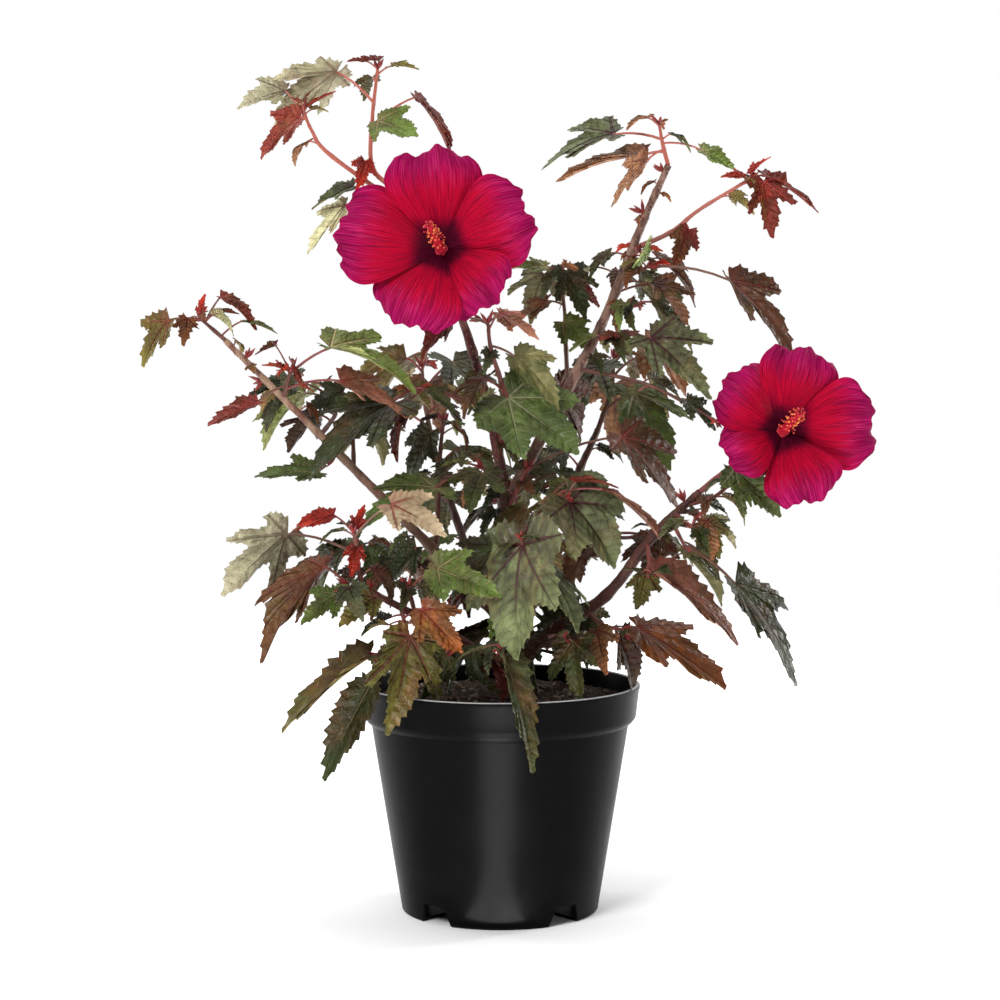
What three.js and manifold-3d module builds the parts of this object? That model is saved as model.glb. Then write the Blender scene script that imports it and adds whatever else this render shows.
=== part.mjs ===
// A flowering hibiscus shrub in its nursery pot, in millimetres, +Z up, seen from the front along +Y.
// The origin is the middle of the pot's underside. Every limb, twig mass and bloom is a solid of its own.
import * as THREE from "three";
import { mergeVertices } from "three/addons/utils/BufferGeometryUtils.js";
import Module from "manifold-3d";

const wasm = await Module();
wasm.setup();

// Pot and soil
const GAP = 0.35;
const POT_HEIGHT = 155;
const RIM_RADIUS = 95;
const BAND_DEPTH = 22;
const BAND_DRAFT = 2.4;
const BAND_STEP = 5.2;
const WALL_TAPER = Math.tan(THREE.MathUtils.degToRad(9.2));
const WALL = 2.4;
const POT_SIDES = 28;
const CHANNEL_ANGLES = [50, 130, 230, 310];
const CHANNEL_HEIGHT = 13;
const CHANNEL_FOOT = 27;
const CHANNEL_ROOF = 17;
const CHANNEL_INNER = 36;
const SOIL_TOP = 145;

// Wood
const LIMB_SIDES = 8;
const TWIG_SIDES = 5;
const LIMB_STEP = 32;
const TWIG_STEP = 28;
const FLARE = 6;
const FLARE_HEIGHT = 26;

// Leaves
const STALK_RADIUS = 1.1;
const STALK_BOW = 0.07;
const LONG_STALK = 30;
const BLADE_THICKNESS = 1.5;
const BLADE_THICKNESS_SHARE = 0.026;
const BLADE_HEART = 0.28;
const SKY_LEAN = 0.35;
const LONG_LEAF = 33;
const LEANS = [0, -8, 8, -16, 16, -24, 24, -32, 32];

// The rule that grows the leaves which are not placed by eye
const LEAF_TURN = 137.5;
const STALK_SPREAD = 58;
const TRIES = 9;
const TRY_TURN = 47;
const LEAF_CLEAR = 0.13;
const LIMB_CLEAR = 5;
const RIM_CLEAR = 4;

const DEG = Math.PI / 180;
const UP = new THREE.Vector3(0, 0, 1);
const VIEWER = new THREE.Vector3(0, -1, 0);

// A blade's half outline: degrees from the midrib and the reach, as a share of the blade's length
const FIVE_LOBED = [[0, 1], [13, 0.74], [27, 0.42], [41, 0.76], [62, 0.34], [86, 0.4]];
const BROAD = [[0, 1], [14, 0.84], [28, 0.64], [44, 0.86], [66, 0.58], [90, 0.6]];
const THREE_LOBED = [[0, 1], [14, 0.72], [29, 0.47], [44, 0.62], [82, 0.26]];
const NARROW = [[0, 1], [13, 0.7], [36, 0.42]];
const SLENDER = [[0, 1], [12, 0.66], [30, 0.34]];

const finish = {
  pot: { color: 0x17181a, roughness: 0.42, metalness: 0 },
  soil: { color: 0x2b211b, roughness: 0.95, metalness: 0 },
  bark: { color: 0x5d4238, roughness: 0.75, metalness: 0 },
  leaf: { color: 0x4c5238, roughness: 0.6, metalness: 0 },
  petal: { color: 0xa51248, roughness: 0.6, metalness: 0 },
};

const shrub = new THREE.Group();
shrub.name = "hibiscus_shrub";

// Solids

function solidOf(geometry) {
  const bare = geometry.clone();
  bare.deleteAttribute("normal");
  bare.deleteAttribute("uv");
  const merged = mergeVertices(bare, 1e-4);
  return new wasm.Manifold(
    new wasm.Mesh({
      numProp: 3,
      vertProperties: new Float32Array(merged.attributes.position.array),
      triVerts: new Uint32Array(merged.index.array),
    }),
  );
}

function closedSolid(places, faces) {
  const geometry = new THREE.BufferGeometry();
  geometry.setAttribute("position", new THREE.Float32BufferAttribute(places.flatMap((p) => p.toArray()), 3));
  geometry.setIndex(faces);
  return solidOf(geometry);
}

// The largest body of a solid, without the scraps that a cut can leave.
function wholeOf(solid) {
  return solid.decompose().reduce((best, body) => (body.volume() > best.volume() ? body : best));
}

function addNode(name, solid, look) {
  const mesh = wholeOf(solid).getMesh();
  const geometry = new THREE.BufferGeometry();
  geometry.setAttribute("position", new THREE.BufferAttribute(mesh.vertProperties, 3));
  geometry.setIndex(new THREE.BufferAttribute(mesh.triVerts, 1));
  geometry.computeVertexNormals();
  const node = new THREE.Mesh(geometry, new THREE.MeshStandardMaterial(look));
  node.name = name;
  shrub.add(node);
}

// Repeatable random numbers from 0 to 1.
function seeded(seed) {
  let state = seed >>> 0;
  return () => {
    state = (Math.imul(state, 1664525) + 1013904223) >>> 0;
    return state / 4294967296;
  };
}

// Pot and soil

const wallTop = RIM_RADIUS - BAND_DRAFT - BAND_STEP;
const bandFoot = POT_HEIGHT - BAND_DEPTH;
const wallAt = (z) => wallTop - (bandFoot - BAND_STEP - z) * WALL_TAPER;

function lathe(profile, sides) {
  const points = profile.map(([x, y]) => new THREE.Vector2(x, y));
  return solidOf(new THREE.LatheGeometry(points, sides).rotateX(Math.PI / 2));
}

// One drainage channel's block under the floor, as a long wedge with sloping sides.
function channelBlock(angle, grow, inner) {
  const half = CHANNEL_FOOT / 2 + grow;
  const top = CHANNEL_ROOF / 2 + grow;
  const height = CHANNEL_HEIGHT + grow;
  const outline = new THREE.Shape([
    new THREE.Vector2(-half, -1), new THREE.Vector2(half, -1), new THREE.Vector2(half, 0),
    new THREE.Vector2(top, height), new THREE.Vector2(-top, height), new THREE.Vector2(-half, 0),
  ]);
  const block = new THREE.ExtrudeGeometry(outline, { depth: RIM_RADIUS, bevelEnabled: false });
  block.rotateX(Math.PI / 2).rotateZ(Math.PI).translate(0, inner, 0).rotateZ((angle - 180) * DEG);
  return solidOf(block);
}

function buildPot() {
  const outside = [
    [0, 0], [wallAt(0) - 1.2, 0], [wallAt(1.2), 1.2], [wallAt(bandFoot - BAND_STEP), bandFoot - BAND_STEP],
    [wallTop + BAND_STEP * 0.7, bandFoot - BAND_STEP * 0.55], [wallTop + BAND_STEP, bandFoot + 1.5],
    [RIM_RADIUS - 0.6, POT_HEIGHT - 0.8], [RIM_RADIUS - 1.4, POT_HEIGHT],
  ];
  const inside = [
    [RIM_RADIUS - WALL - 0.6, POT_HEIGHT - 0.6], [wallTop + BAND_STEP - WALL, bandFoot],
    [wallAt(bandFoot - BAND_STEP) - WALL, bandFoot - BAND_STEP], [wallAt(WALL) - WALL, WALL], [0, WALL],
  ];
  const room = lathe([[0, -5], [wallAt(0) - WALL * 0.5, -5], [wallAt(30) - WALL * 0.5, 30], [0, 30]], POT_SIDES);
  let pot = lathe([...outside, ...inside], POT_SIDES);
  for (const angle of CHANNEL_ANGLES)
    pot = pot.add(channelBlock(angle, WALL, CHANNEL_INNER - WALL).intersect(room));
  for (const angle of CHANNEL_ANGLES) pot = pot.subtract(channelBlock(angle, 0, CHANNEL_INNER));
  const below = new THREE.BoxGeometry(400, 400, 20).translate(0, 0, -10);
  addNode("pot", pot.subtract(solidOf(below)), finish.pot);
}

function buildSoil() {
  const edge = (z) => wallAt(z) - WALL - GAP * 1.6;
  const bandEdge = wallTop + BAND_STEP - WALL - GAP * 1.6;
  const profile = [
    [0, WALL + GAP], [edge(WALL + GAP), WALL + GAP], [edge(bandFoot - BAND_STEP), bandFoot - BAND_STEP],
    [bandEdge, bandFoot + 0.5], [bandEdge + 1.2, SOIL_TOP - 1.5], [bandEdge - 6, SOIL_TOP], [0, SOIL_TOP],
  ];
  let soil = lathe(profile, POT_SIDES);
  for (const angle of CHANNEL_ANGLES)
    soil = soil.subtract(channelBlock(angle, WALL + GAP, CHANNEL_INNER - WALL - GAP));
  addNode("soil", soil, finish.soil);
}

// Limbs

const limbs = {};
const obstacles = [];

function lineThrough(points) {
  const corners = points.map((p) => new THREE.Vector3(...p));
  return new THREE.CatmullRomCurve3(corners, false, "catmullrom", 0.5);
}

// A tapering round limb along a curve: a cylinder bent to the curve, with frames that never twist.
function taper(curve, radiusAt, sides, step, grow = 0) {
  const rings = Math.max(1, Math.round(curve.getLength() / step));
  const round = new THREE.CylinderGeometry(1, 1, 1, sides, rings);
  const frames = [];
  let side = null;
  for (let i = 0; i <= rings; i++) {
    const t = i / rings;
    const along = curve.getTangent(t);
    side = side ?? (Math.abs(along.x) < 0.7 ? new THREE.Vector3(1, 0, 0) : new THREE.Vector3(0, 1, 0));
    side = side.clone().addScaledVector(along, -side.dot(along)).normalize();
    const across = new THREE.Vector3().crossVectors(side, along);
    const centre = curve.getPoint(t);
    if (i === 0) centre.addScaledVector(along, -grow);
    if (i === rings) centre.addScaledVector(along, grow);
    frames.push({ centre, side, across, radius: radiusAt(t) + grow });
  }
  const place = round.attributes.position;
  for (let k = 0; k < place.count; k++) {
    const f = frames[Math.round((place.getY(k) + 0.5) * rings)];
    const p = f.centre.clone().addScaledVector(f.side, place.getX(k) * f.radius);
    p.addScaledVector(f.across, place.getZ(k) * f.radius);
    place.setXYZ(k, p.x, p.y, p.z);
  }
  return solidOf(round);
}

function noteLimb(name, curve, radiusAt) {
  const steps = Math.ceil(curve.getLength() / LIMB_CLEAR);
  for (let i = 0; i <= steps; i++)
    obstacles.push({ owner: name, at: curve.getPoint(i / steps), room: radiusAt(i / steps) + LIMB_CLEAR });
}

// A trunk or bough from its named parent, 0.3 mm clear of every limb named in clearOf.
function growLimb(name, points, thick, thin, clearOf = []) {
  const curve = lineThrough(points);
  const flare = (t) => FLARE * Math.max(0, 1 - (t * curve.getLength()) / FLARE_HEIGHT) ** 2;
  const radiusAt = (t) => thick + (thin - thick) * t + (name === "trunk" ? flare(t) : 0);
  let solid = taper(curve, radiusAt, LIMB_SIDES, LIMB_STEP);
  for (const other of clearOf) solid = solid.subtract(limbs[other].grown);
  const grown = taper(curve, radiusAt, LIMB_SIDES, LIMB_STEP, GAP);
  limbs[name] = { curve, radiusAt, solid: wholeOf(solid), grown };
  noteLimb(name, curve, radiusAt);
}

function growLimbs() {
  growLimb("trunk", [[11, 0, SOIL_TOP - 8], [9, 2, 190], [6, 5, 245], [2, 5, 292]], 7, 5.3);
  growLimb("bough_left_leader", [[2, 5, 292], [-8, 10, 342], [-31, 20, 414], [-70, 10, 488]], 4.1, 2.4, ["trunk"]);
  growLimb(
    "bough_right_leader",
    [[4, 5, 276], [47, 0, 357], [70, 12, 400], [95, 18, 462], [114, 20, 505]],
    4.4, 2.3, ["trunk", "bough_left_leader"],
  );
  growLimb("bough_right_low", [[9, 2, 176], [67, -20, 213], [102, -38, 259], [131, -50, 288]], 4.8, 2.6, ["trunk"]);
  growLimb("bough_left_high", [[8, 2, 190], [-54, -10, 256], [-121, -20, 325], [-182, -25, 387]], 4.3, 2, ["trunk"]);
  growLimb("bough_left_low", [[10, 1, 163], [-44, -48, 200], [-90, -65, 227]], 3.2, 2.2, ["trunk"]);
  growLimb("bough_back_left", [[9, 2, 182], [-22, 56, 238], [-46, 100, 305]], 4.2, 2.4, ["trunk", "bough_left_high"]);
  growLimb("bough_back_right", [[8, 3, 204], [40, 62, 262], [70, 104, 322]], 4.2, 2.4, ["trunk"]);
  const ground = solidOf(new THREE.BoxGeometry(200, 200, 60).translate(0, 0, SOIL_TOP + GAP - 30));
  for (const [name, limb] of Object.entries(limbs)) addNode(name, limb.solid.subtract(ground), finish.bark);
}

// Leaves

// A direction seen from the front: degrees anticlockwise from +X, then degrees of lean away from the viewer.
function heading(angle, lean) {
  const flat = Math.cos(lean * DEG);
  return new THREE.Vector3(Math.cos(angle * DEG) * flat, Math.sin(lean * DEG), Math.sin(angle * DEG) * flat);
}

// A blade's upper side: turned by face degrees from the sky towards the viewer, round the midrib.
function upperSide(midrib, face, outward) {
  const sky = UP.clone().addScaledVector(outward, SKY_LEAN);
  const towardsSky = sky.addScaledVector(midrib, -sky.dot(midrib)).normalize();
  const towardsViewer = new THREE.Vector3().crossVectors(midrib, towardsSky);
  if (towardsViewer.dot(VIEWER) < 0) towardsViewer.negate();
  return towardsSky.multiplyScalar(Math.cos(face * DEG)).addScaledVector(towardsViewer, Math.sin(face * DEG));
}

function makeLeaf(root, stalkWay, stalkLength, midrib, upper, length, form, curl, fold) {
  const tip = root.clone().addScaledVector(stalkWay, stalkLength);
  const bow = root.clone().lerp(tip, 0.5).addScaledVector(UP, stalkLength * STALK_BOW);
  const across = new THREE.Vector3().crossVectors(upper, midrib);
  return { root, bow, tip, midrib, upper, across, length, form, curl, fold };
}

// A place on the blade: reach and angle on the flat outline, bent down like an umbrella and folded up a little.
function onBlade(leaf, reach, angle) {
  const bend = (leaf.curl * DEG) / leaf.length;
  const out = Math.sin(bend * reach) / bend;
  const down = (1 - Math.cos(bend * reach)) / bend;
  const aside = out * Math.sin(angle * DEG);
  const lift = Math.abs(aside) * Math.sin(leaf.fold * DEG) - down;
  const p = leaf.tip.clone().addScaledVector(leaf.midrib, out * Math.cos(angle * DEG));
  return p.addScaledVector(leaf.across, aside * Math.cos(leaf.fold * DEG)).addScaledVector(leaf.upper, lift);
}

// Places on a leaf that must keep clear of other leaves and limbs.
function feelers(leaf) {
  const places = [0.45, 0.7, 0.9].map((s) => leaf.root.clone().lerp(leaf.bow, Math.min(1, s * 2))
    .lerp(leaf.tip, Math.max(0, s * 2 - 1)));
  for (const [angle, reach] of leaf.form)
    for (const side of angle === 0 ? [1] : [1, -1])
      for (const share of reach > 0.6 ? [0.33, 0.66, 1] : [1])
        places.push(onBlade(leaf, leaf.length * reach * share, angle * side));
  return places;
}

const leafFeelers = [];

function fits(leaf, places, owner) {
  const near = leaf.length * LEAF_CLEAR;
  for (const p of places) {
    if (p.z < SOIL_TOP + RIM_CLEAR && Math.hypot(p.x, p.y) < RIM_RADIUS + RIM_CLEAR) return false;
    for (const o of obstacles) if (o.owner !== owner && p.distanceTo(o.at) < o.room) return false;
    for (const other of leafFeelers)
      if (other.leaf.tip.distanceTo(leaf.tip) < other.leaf.length + leaf.length)
        for (const q of other.places)
          if (p.distanceTo(q) < (near + other.leaf.length * LEAF_CLEAR) / 2) return false;
  }
  return true;
}

function keep(leaf, places) {
  leafFeelers.push({ leaf, places });
  return leaf;
}

// A leaf placed by eye: its seat along the twig, its stalk and its blade as [angle, length].
function leaf(at, stalk, blade, lean, face, form = THREE_LOBED) {
  return { at, stalk, blade, lean, face, form };
}

const shoots = [];

function shoot(name, on, through, thick, leaves, options = {}) {
  shoots.push({ name, on, through, thick, leaves, more: 0, size: 50, bloom: null, ...options });
}

function placedLeaf(plan, { at, stalk, blade, face, form }, lean, curl, fold) {
  const midrib = heading(blade[0], lean);
  const upper = upperSide(midrib, face, plan.outward);
  const root = plan.curve.getPoint(at);
  return makeLeaf(root, heading(stalk[0], lean), stalk[1], midrib, upper, blade[1], form, curl, fold);
}

// The twig's line and the space that it and its flower take up.
function startShoot(plan, index) {
  const [parent, at] = plan.on;
  const start = limbs[parent].curve.getPoint(at);
  plan.curve = lineThrough([start.toArray(), ...plan.through]);
  plan.radiusAt = (t) => plan.thick[0] + (plan.thick[1] - plan.thick[0]) * t;
  plan.random = seeded(index * 7919 + 17);
  plan.outward = new THREE.Vector3(start.x, start.y, 0).normalize();
  plan.middle = plan.middle ? new THREE.Vector3(...plan.middle) : plan.curve.getPoint(0.7);
  plan.reach = plan.reach ?? 1.7 * plan.size;
  plan.grown = [];
  noteLimb(plan.name, plan.curve, (t) => plan.radiusAt(t) - LIMB_CLEAR / 2);
  if (plan.bloom) noteBloom(plan);
}

// The leaves placed by eye, which lean to or from the viewer until they find room.
function growPlaced(plan) {
  for (const placed of plan.leaves) {
    const curl = 16 + 22 * plan.random();
    const fold = 8 + 16 * plan.random();
    const choices = LEANS.map((more) => placedLeaf(plan, placed, placed.lean + more, curl, fold));
    const made = choices.find((choice) => fits(choice, feelers(choice), plan.name)) ?? choices[0];
    plan.grown.push(keep(made, feelers(made)));
  }
}

// More leaves up the twig, each a fixed turn on from the last; one that finds no room is skipped.
function growMore(plan) {
  const { random, curve } = plan;
  let turn = random() * 360;
  for (let i = 0; i < plan.more; i++) {
    const at = 0.18 + (0.82 * (i + 0.5)) / plan.more;
    const along = curve.getTangent(at);
    const length = plan.size * (0.75 + 0.5 * random());
    const stalkLength = length * (0.35 + 0.35 * random());
    const drop = 0.25 + 0.5 * random();
    const tilt = -12 + 24 * random();
    const curl = 24 + 26 * random();
    const fold = 8 + 16 * random();
    const form = length > LONG_LEAF ? FIVE_LOBED : THREE_LOBED;
    turn += LEAF_TURN;
    for (let attempt = 0; attempt < TRIES; attempt++) {
      const spin = (turn + attempt * TRY_TURN) * DEG;
      const level = new THREE.Vector3(Math.cos(spin), Math.sin(spin), 0);
      const stalkWay = along.clone().multiplyScalar(Math.cos(STALK_SPREAD * DEG));
      stalkWay.addScaledVector(level, Math.sin(STALK_SPREAD * DEG)).normalize();
      const midrib = level.clone().addScaledVector(UP, -drop).normalize();
      const upper = upperSide(midrib, 0, level).applyAxisAngle(midrib, tilt * DEG);
      const made = makeLeaf(curve.getPoint(at), stalkWay, stalkLength, midrib, upper, length, form, curl, fold);
      const places = feelers(made);
      const inside = places.every((p) => p.distanceTo(plan.middle) < plan.reach);
      if (inside && fits(made, places, plan.name)) {
        plan.grown.push(keep(made, places));
        break;
      }
    }
  }
}

// A blade and its stalk as one closed form: a thin lens cut to the lobes, mitred on to a four-sided stalk.
function leafSolid(leaf) {
  const left = leaf.form.slice(1);
  const right = left.map(([angle, reach]) => [-angle, reach]).reverse();
  const rim = (side) => side.map(([angle, reach]) => onBlade(leaf, leaf.length * reach, angle));
  const stalkEnd = leaf.tip.clone().sub(leaf.bow).normalize();
  const ring = (centre, way, half) => {
    const aside = leaf.across.clone().addScaledVector(way, -leaf.across.dot(way)).normalize();
    const above = new THREE.Vector3().crossVectors(way, aside);
    return [[1, 1], [1, -1], [-1, -1], [-1, 1]].map(([a, b]) =>
      centre.clone().addScaledVector(aside, a * half).addScaledVector(above, b * half));
  };
  const mitre = stalkEnd.clone().add(leaf.midrib).normalize();
  const rings = [
    ring(leaf.tip, mitre, STALK_RADIUS * 0.8),
    ring(leaf.bow, leaf.tip.clone().sub(leaf.root).normalize(), STALK_RADIUS * 0.9),
    ring(leaf.root, leaf.bow.clone().sub(leaf.root).normalize(), STALK_RADIUS),
  ];
  if (leaf.root.distanceTo(leaf.tip) < LONG_STALK) rings.splice(1, 1);
  const thick = Math.max(BLADE_THICKNESS, leaf.length * BLADE_THICKNESS_SHARE) / 2;
  const heart = onBlade(leaf, leaf.length * BLADE_HEART, 0);
  const hearts = [thick, -thick].map((rise) => heart.clone().addScaledVector(leaf.upper, rise));
  const places = [...hearts, ...rings.flat(), onBlade(leaf, leaf.length, 0), ...rim(left), ...rim(right)];
  const base = 2;
  const tip = base + 4 * rings.length;
  const lastLeft = tip + left.length;
  const faces = [];
  for (let k = tip; k < lastLeft; k++) faces.push(0, k, k + 1, 1, k + 1, k);
  faces.push(0, lastLeft, base, 1, base + 1, lastLeft, lastLeft, base + 1, base);
  faces.push(0, base, base + 3, 1, base + 2, base + 1);
  faces.push(0, base + 3, lastLeft + 1, 1, lastLeft + 1, base + 2, lastLeft + 1, base + 3, base + 2);
  for (let k = lastLeft + 1; k < places.length - 1; k++) faces.push(0, k, k + 1, 1, k + 1, k);
  faces.push(0, places.length - 1, tip, 1, tip, places.length - 1);
  for (let r = 0; r < rings.length - 1; r++)
    for (let k = 0; k < 4; k++) {
      const a = base + 4 * r + k;
      const b = base + 4 * r + ((k + 1) % 4);
      faces.push(a, b, b + 4, a, b + 4, a + 4);
    }
  const root = base + 4 * (rings.length - 1);
  faces.push(root, root + 1, root + 2, root, root + 2, root + 3);
  return closedSolid(places, faces);
}

// Blooms

const PETAL_ROWS = 3;
const PETAL_COLUMNS = 4;
const PETAL_THICKNESS = 1.1;
const PETAL_FOOT = 3.5;
const PETAL_SWING = 9;
const BLOOM_CLEAR = 13;

// A petal's width along its length, as a share of its widest.
const petalWidth = (s) => 0.2 + 0.8 * Math.sin(Math.min(1, s * 1.18) * Math.PI * 0.5);

function petalSolid(flower, [angle, length, width]) {
  const out = flower.right.clone().multiplyScalar(Math.cos(angle * DEG));
  out.addScaledVector(flower.top, Math.sin(angle * DEG));
  const across = new THREE.Vector3().crossVectors(flower.face, out);
  const grid = [];
  for (let i = 0; i <= PETAL_ROWS; i++)
    for (let j = 0; j <= PETAL_COLUMNS; j++) {
      const s = i / PETAL_ROWS;
      const a = (2 * j) / PETAL_COLUMNS - 1;
      const rounding = 1 - 0.3 * a * a * s * s;
      const reach = PETAL_FOOT + (length - PETAL_FOOT) * s * rounding;
      const aside = a * width * petalWidth(s) * (1 - 0.18 * s ** 4);
      const rise = -flower.cup * (1 - s) ** 2 + aside * Math.tan(PETAL_SWING * DEG) + 2.5 * Math.sin(3 * a + 4 * s) * s;
      const p = flower.eye.clone().addScaledVector(out, reach).addScaledVector(across, aside);
      grid.push(p.addScaledVector(flower.face, rise));
    }
  const lift = flower.face.clone().multiplyScalar(PETAL_THICKNESS / 2);
  const places = [...grid.map((p) => p.clone().add(lift)), ...grid.map((p) => p.clone().sub(lift))];
  const under = grid.length;
  const row = PETAL_COLUMNS + 1;
  const faces = [];
  const quad = (a, b, c, d) => faces.push(a, b, c, a, c, d);
  for (let i = 0; i < PETAL_ROWS; i++)
    for (let j = 0; j < PETAL_COLUMNS; j++) {
      const k = i * row + j;
      quad(k, k + row, k + row + 1, k + 1);
      quad(under + k, under + k + 1, under + k + row + 1, under + k + row);
    }
  for (let i = 0; i < PETAL_ROWS; i++) {
    const left = i * row;
    const right = left + PETAL_COLUMNS;
    quad(left, under + left, under + left + row, left + row);
    quad(right, right + row, under + right + row, under + right);
  }
  for (let j = 0; j < PETAL_COLUMNS; j++) {
    const far = PETAL_ROWS * row + j;
    quad(j, j + 1, under + j + 1, under + j);
    quad(far, under + far, under + far + 1, far + 1);
  }
  return closedSolid(places, faces);
}

function bloomSolids(plan) {
  const { eye, face, petals, cup, column } = plan.bloom;
  const flower = { eye: new THREE.Vector3(...eye), face: new THREE.Vector3(...face).normalize(), cup };
  flower.right = new THREE.Vector3().crossVectors(UP, flower.face).normalize();
  flower.top = new THREE.Vector3().crossVectors(flower.face, flower.right);
  const behind = flower.eye.clone().addScaledVector(flower.face, -cup - 12);
  const cupLine = new THREE.LineCurve3(behind, flower.eye.clone().addScaledVector(flower.face, -cup * 0.4));
  const tip = flower.eye.clone().add(new THREE.Vector3(...column));
  const columnLine = new THREE.LineCurve3(flower.eye.clone().addScaledVector(flower.face, -cup), tip);
  return [
    taper(cupLine, (t) => 4 + 5.5 * t, LIMB_SIDES, 12),
    taper(columnLine, (t) => 1.6 + 2.6 * t, TWIG_SIDES, 12),
    ...petals.map((petal) => petalSolid(flower, petal)),
  ];
}

// Places over the open flower that leaves keep clear of.
function noteBloom(plan) {
  const { eye, face, petals } = plan.bloom;
  const front = new THREE.Vector3(...face).normalize();
  const right = new THREE.Vector3().crossVectors(UP, front).normalize();
  const top = new THREE.Vector3().crossVectors(front, right);
  for (const [angle, length] of petals)
    for (const turn of [-24, 0, 24])
      for (const share of [0.3, 0.62, 0.95]) {
        const at = new THREE.Vector3(...eye);
        at.addScaledVector(right, Math.cos((angle + turn) * DEG) * length * share);
        at.addScaledVector(top, Math.sin((angle + turn) * DEG) * length * share);
        obstacles.push({ owner: plan.name, at, room: BLOOM_CLEAR });
      }
}

// The shoots of the left leader

shoot("twigs_left_top", ["bough_left_leader", 1], [[-86, 10, 503], [-86, 10, 535], [-82, 5, 568]], [2.2, 1.2], [
  leaf(0.78, [140, 33], [211, 58], 9, -30, FIVE_LOBED),
  leaf(1, [80, 6], [165, 17], 0, 30),
  leaf(0.62, [34, 36], [-48, 48], 4, 20, NARROW),
  leaf(0.62, [40, 8], [-20, 40], -22, 35),
  leaf(0.4, [200, 5], [-100, 22], -25, 60),
]);

shoot("twigs_left_top_side", ["bough_left_leader", 0.94], [[-114, 0, 511], [-126, 0, 527], [-131, 0, 539]], [1.9, 1.1], [
  leaf(0.6, [123, 36], [186, 34], 12, -28),
  leaf(0.85, [150, 5], [213, 40], 4, -35),
  leaf(1, [60, 4], [35, 22], 0, 20, NARROW),
]);

shoot("twigs_left_shoulder", ["bough_left_leader", 0.84], [[-90, 2, 478]], [1.7, 1.3], [
  leaf(1, [125, 15], [200, 33], 6, 35),
  leaf(0.85, [170, 20], [226, 42], -12, 45),
]);

shoot("twigs_left_back", ["bough_left_leader", 0.72], [[-52, 44, 462], [-56, 60, 480]], [1.9, 1.2], [], {
  more: 4, size: 44, middle: [-58, 52, 470], reach: 74,
});

shoot("flowering_twig_left", ["bough_left_leader", 0.57], [[-44, -14, 447], [-39, -42, 449]], [2.1, 3], [], {
  bloom: {
    eye: [-39, -64, 449], face: [-0.04, -0.98, 0.16], cup: 15, column: [-6, -19, 11],
    petals: [[96, 64, 32], [22, 62, 31], [-48, 51, 27], [-112, 56, 31], [171, 67, 34]],
  },
});

shoot("twigs_centre_top", ["bough_left_leader", 0.1], [[3, -18, 347], [-6, -28, 381], [-8, -28, 398]], [2.3, 1.3], [
  leaf(1, [168, 22], [220, 38], -6, 45),
  leaf(0.9, [60, 14], [-24, 32], -10, 45),
  leaf(0.45, [-66, 13], [-33, 60], -20, 58, BROAD),
  leaf(0.7, [-23, 18], [-38, 46], 8, -25),
], { more: 2, size: 40 });

shoot("twigs_left_middle", ["bough_left_leader", 0.32], [[-40, 2, 352], [-58, -8, 354]], [2, 1.3], [
  leaf(0.8, [220, 12], [-115, 42], -10, 32),
  leaf(1, [212, 19], [205, 76], -20, 40, FIVE_LOBED),
], { more: 2, size: 46 });

shoot("twigs_left_inner", ["trunk", 0.96], [[-12, -12, 302]], [1.8, 1.5], [
  leaf(1, [202, 40], [188, 62], -10, 25, FIVE_LOBED),
  leaf(0.8, [160, 20], [215, 38], -30, 40),
], { more: 2, size: 48 });

// The shoots of the right leader

shoot("twigs_right_top", ["bough_right_leader", 1], [[110, 20, 520], [108, 20, 532]], [1.8, 1.2], [
  leaf(0.6, [174, 33], [188, 54], 4, 32, FIVE_LOBED),
  leaf(0.3, [190, 16], [183, 60], 12, 15, NARROW),
  leaf(0.35, [212, 14], [222, 42], -12, -45),
  leaf(0.5, [-10, 27], [-25, 28], -4, 35),
]);

shoot("twigs_right_side", ["bough_right_leader", 0.69], [[116, 20, 460], [135, 15, 475], [168, 5, 495]], [2.1, 1.2], [
  leaf(1, [70, 4], [60, 17], 0, 40),
  leaf(1, [160, 4], [168, 16], -10, 30),
  leaf(0.93, [10, 17], [-78, 38], -8, 65, FIVE_LOBED),
  leaf(1, [15, 10], [-24, 46], 6, 10, NARROW),
  leaf(0.5, [-60, 6], [-112, 28], -8, 30),
]);

shoot("twigs_right_front", ["bough_right_leader", 0.66], [[93, -6, 447]], [1.5, 1.3], [
  leaf(1, [50, 10], [-110, 24], -35, 78),
]);

shoot("leaf_right_long_stalk", ["bough_right_leader", 0.61], [[99, 12, 436]], [1.5, 1.3], [
  leaf(1, [-9, 57], [-40, 64], -8, 32),
]);

shoot("twigs_right_upper", ["bough_right_leader", 0.52], [[86, 8, 410]], [1.5, 1.3], [
  leaf(1, [8, 18], [-44, 44], 4, 26, NARROW),
]);

shoot("twigs_right_green", ["bough_right_leader", 0.44], [[80, 0, 390]], [1.6, 1.4], [
  leaf(1, [-5, 24], [-38, 58], -22, 45, FIVE_LOBED),
]);

shoot("twigs_right_thin", ["bough_right_leader", 0.3], [[100, -14, 357], [143, -25, 334]], [1.6, 1], [
  leaf(0.45, [30, 6], [-20, 24], 6, 20),
  leaf(0.72, [0, 5], [-38, 28], -14, 40),
  leaf(1, [-10, 4], [-20, 24], 0, 20, NARROW),
]);

shoot("twigs_right_back", ["bough_right_leader", 0.56], [[84, 48, 424], [88, 66, 438]], [1.9, 1.2], [], {
  more: 4, size: 46, middle: [88, 58, 425], reach: 78,
});

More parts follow.
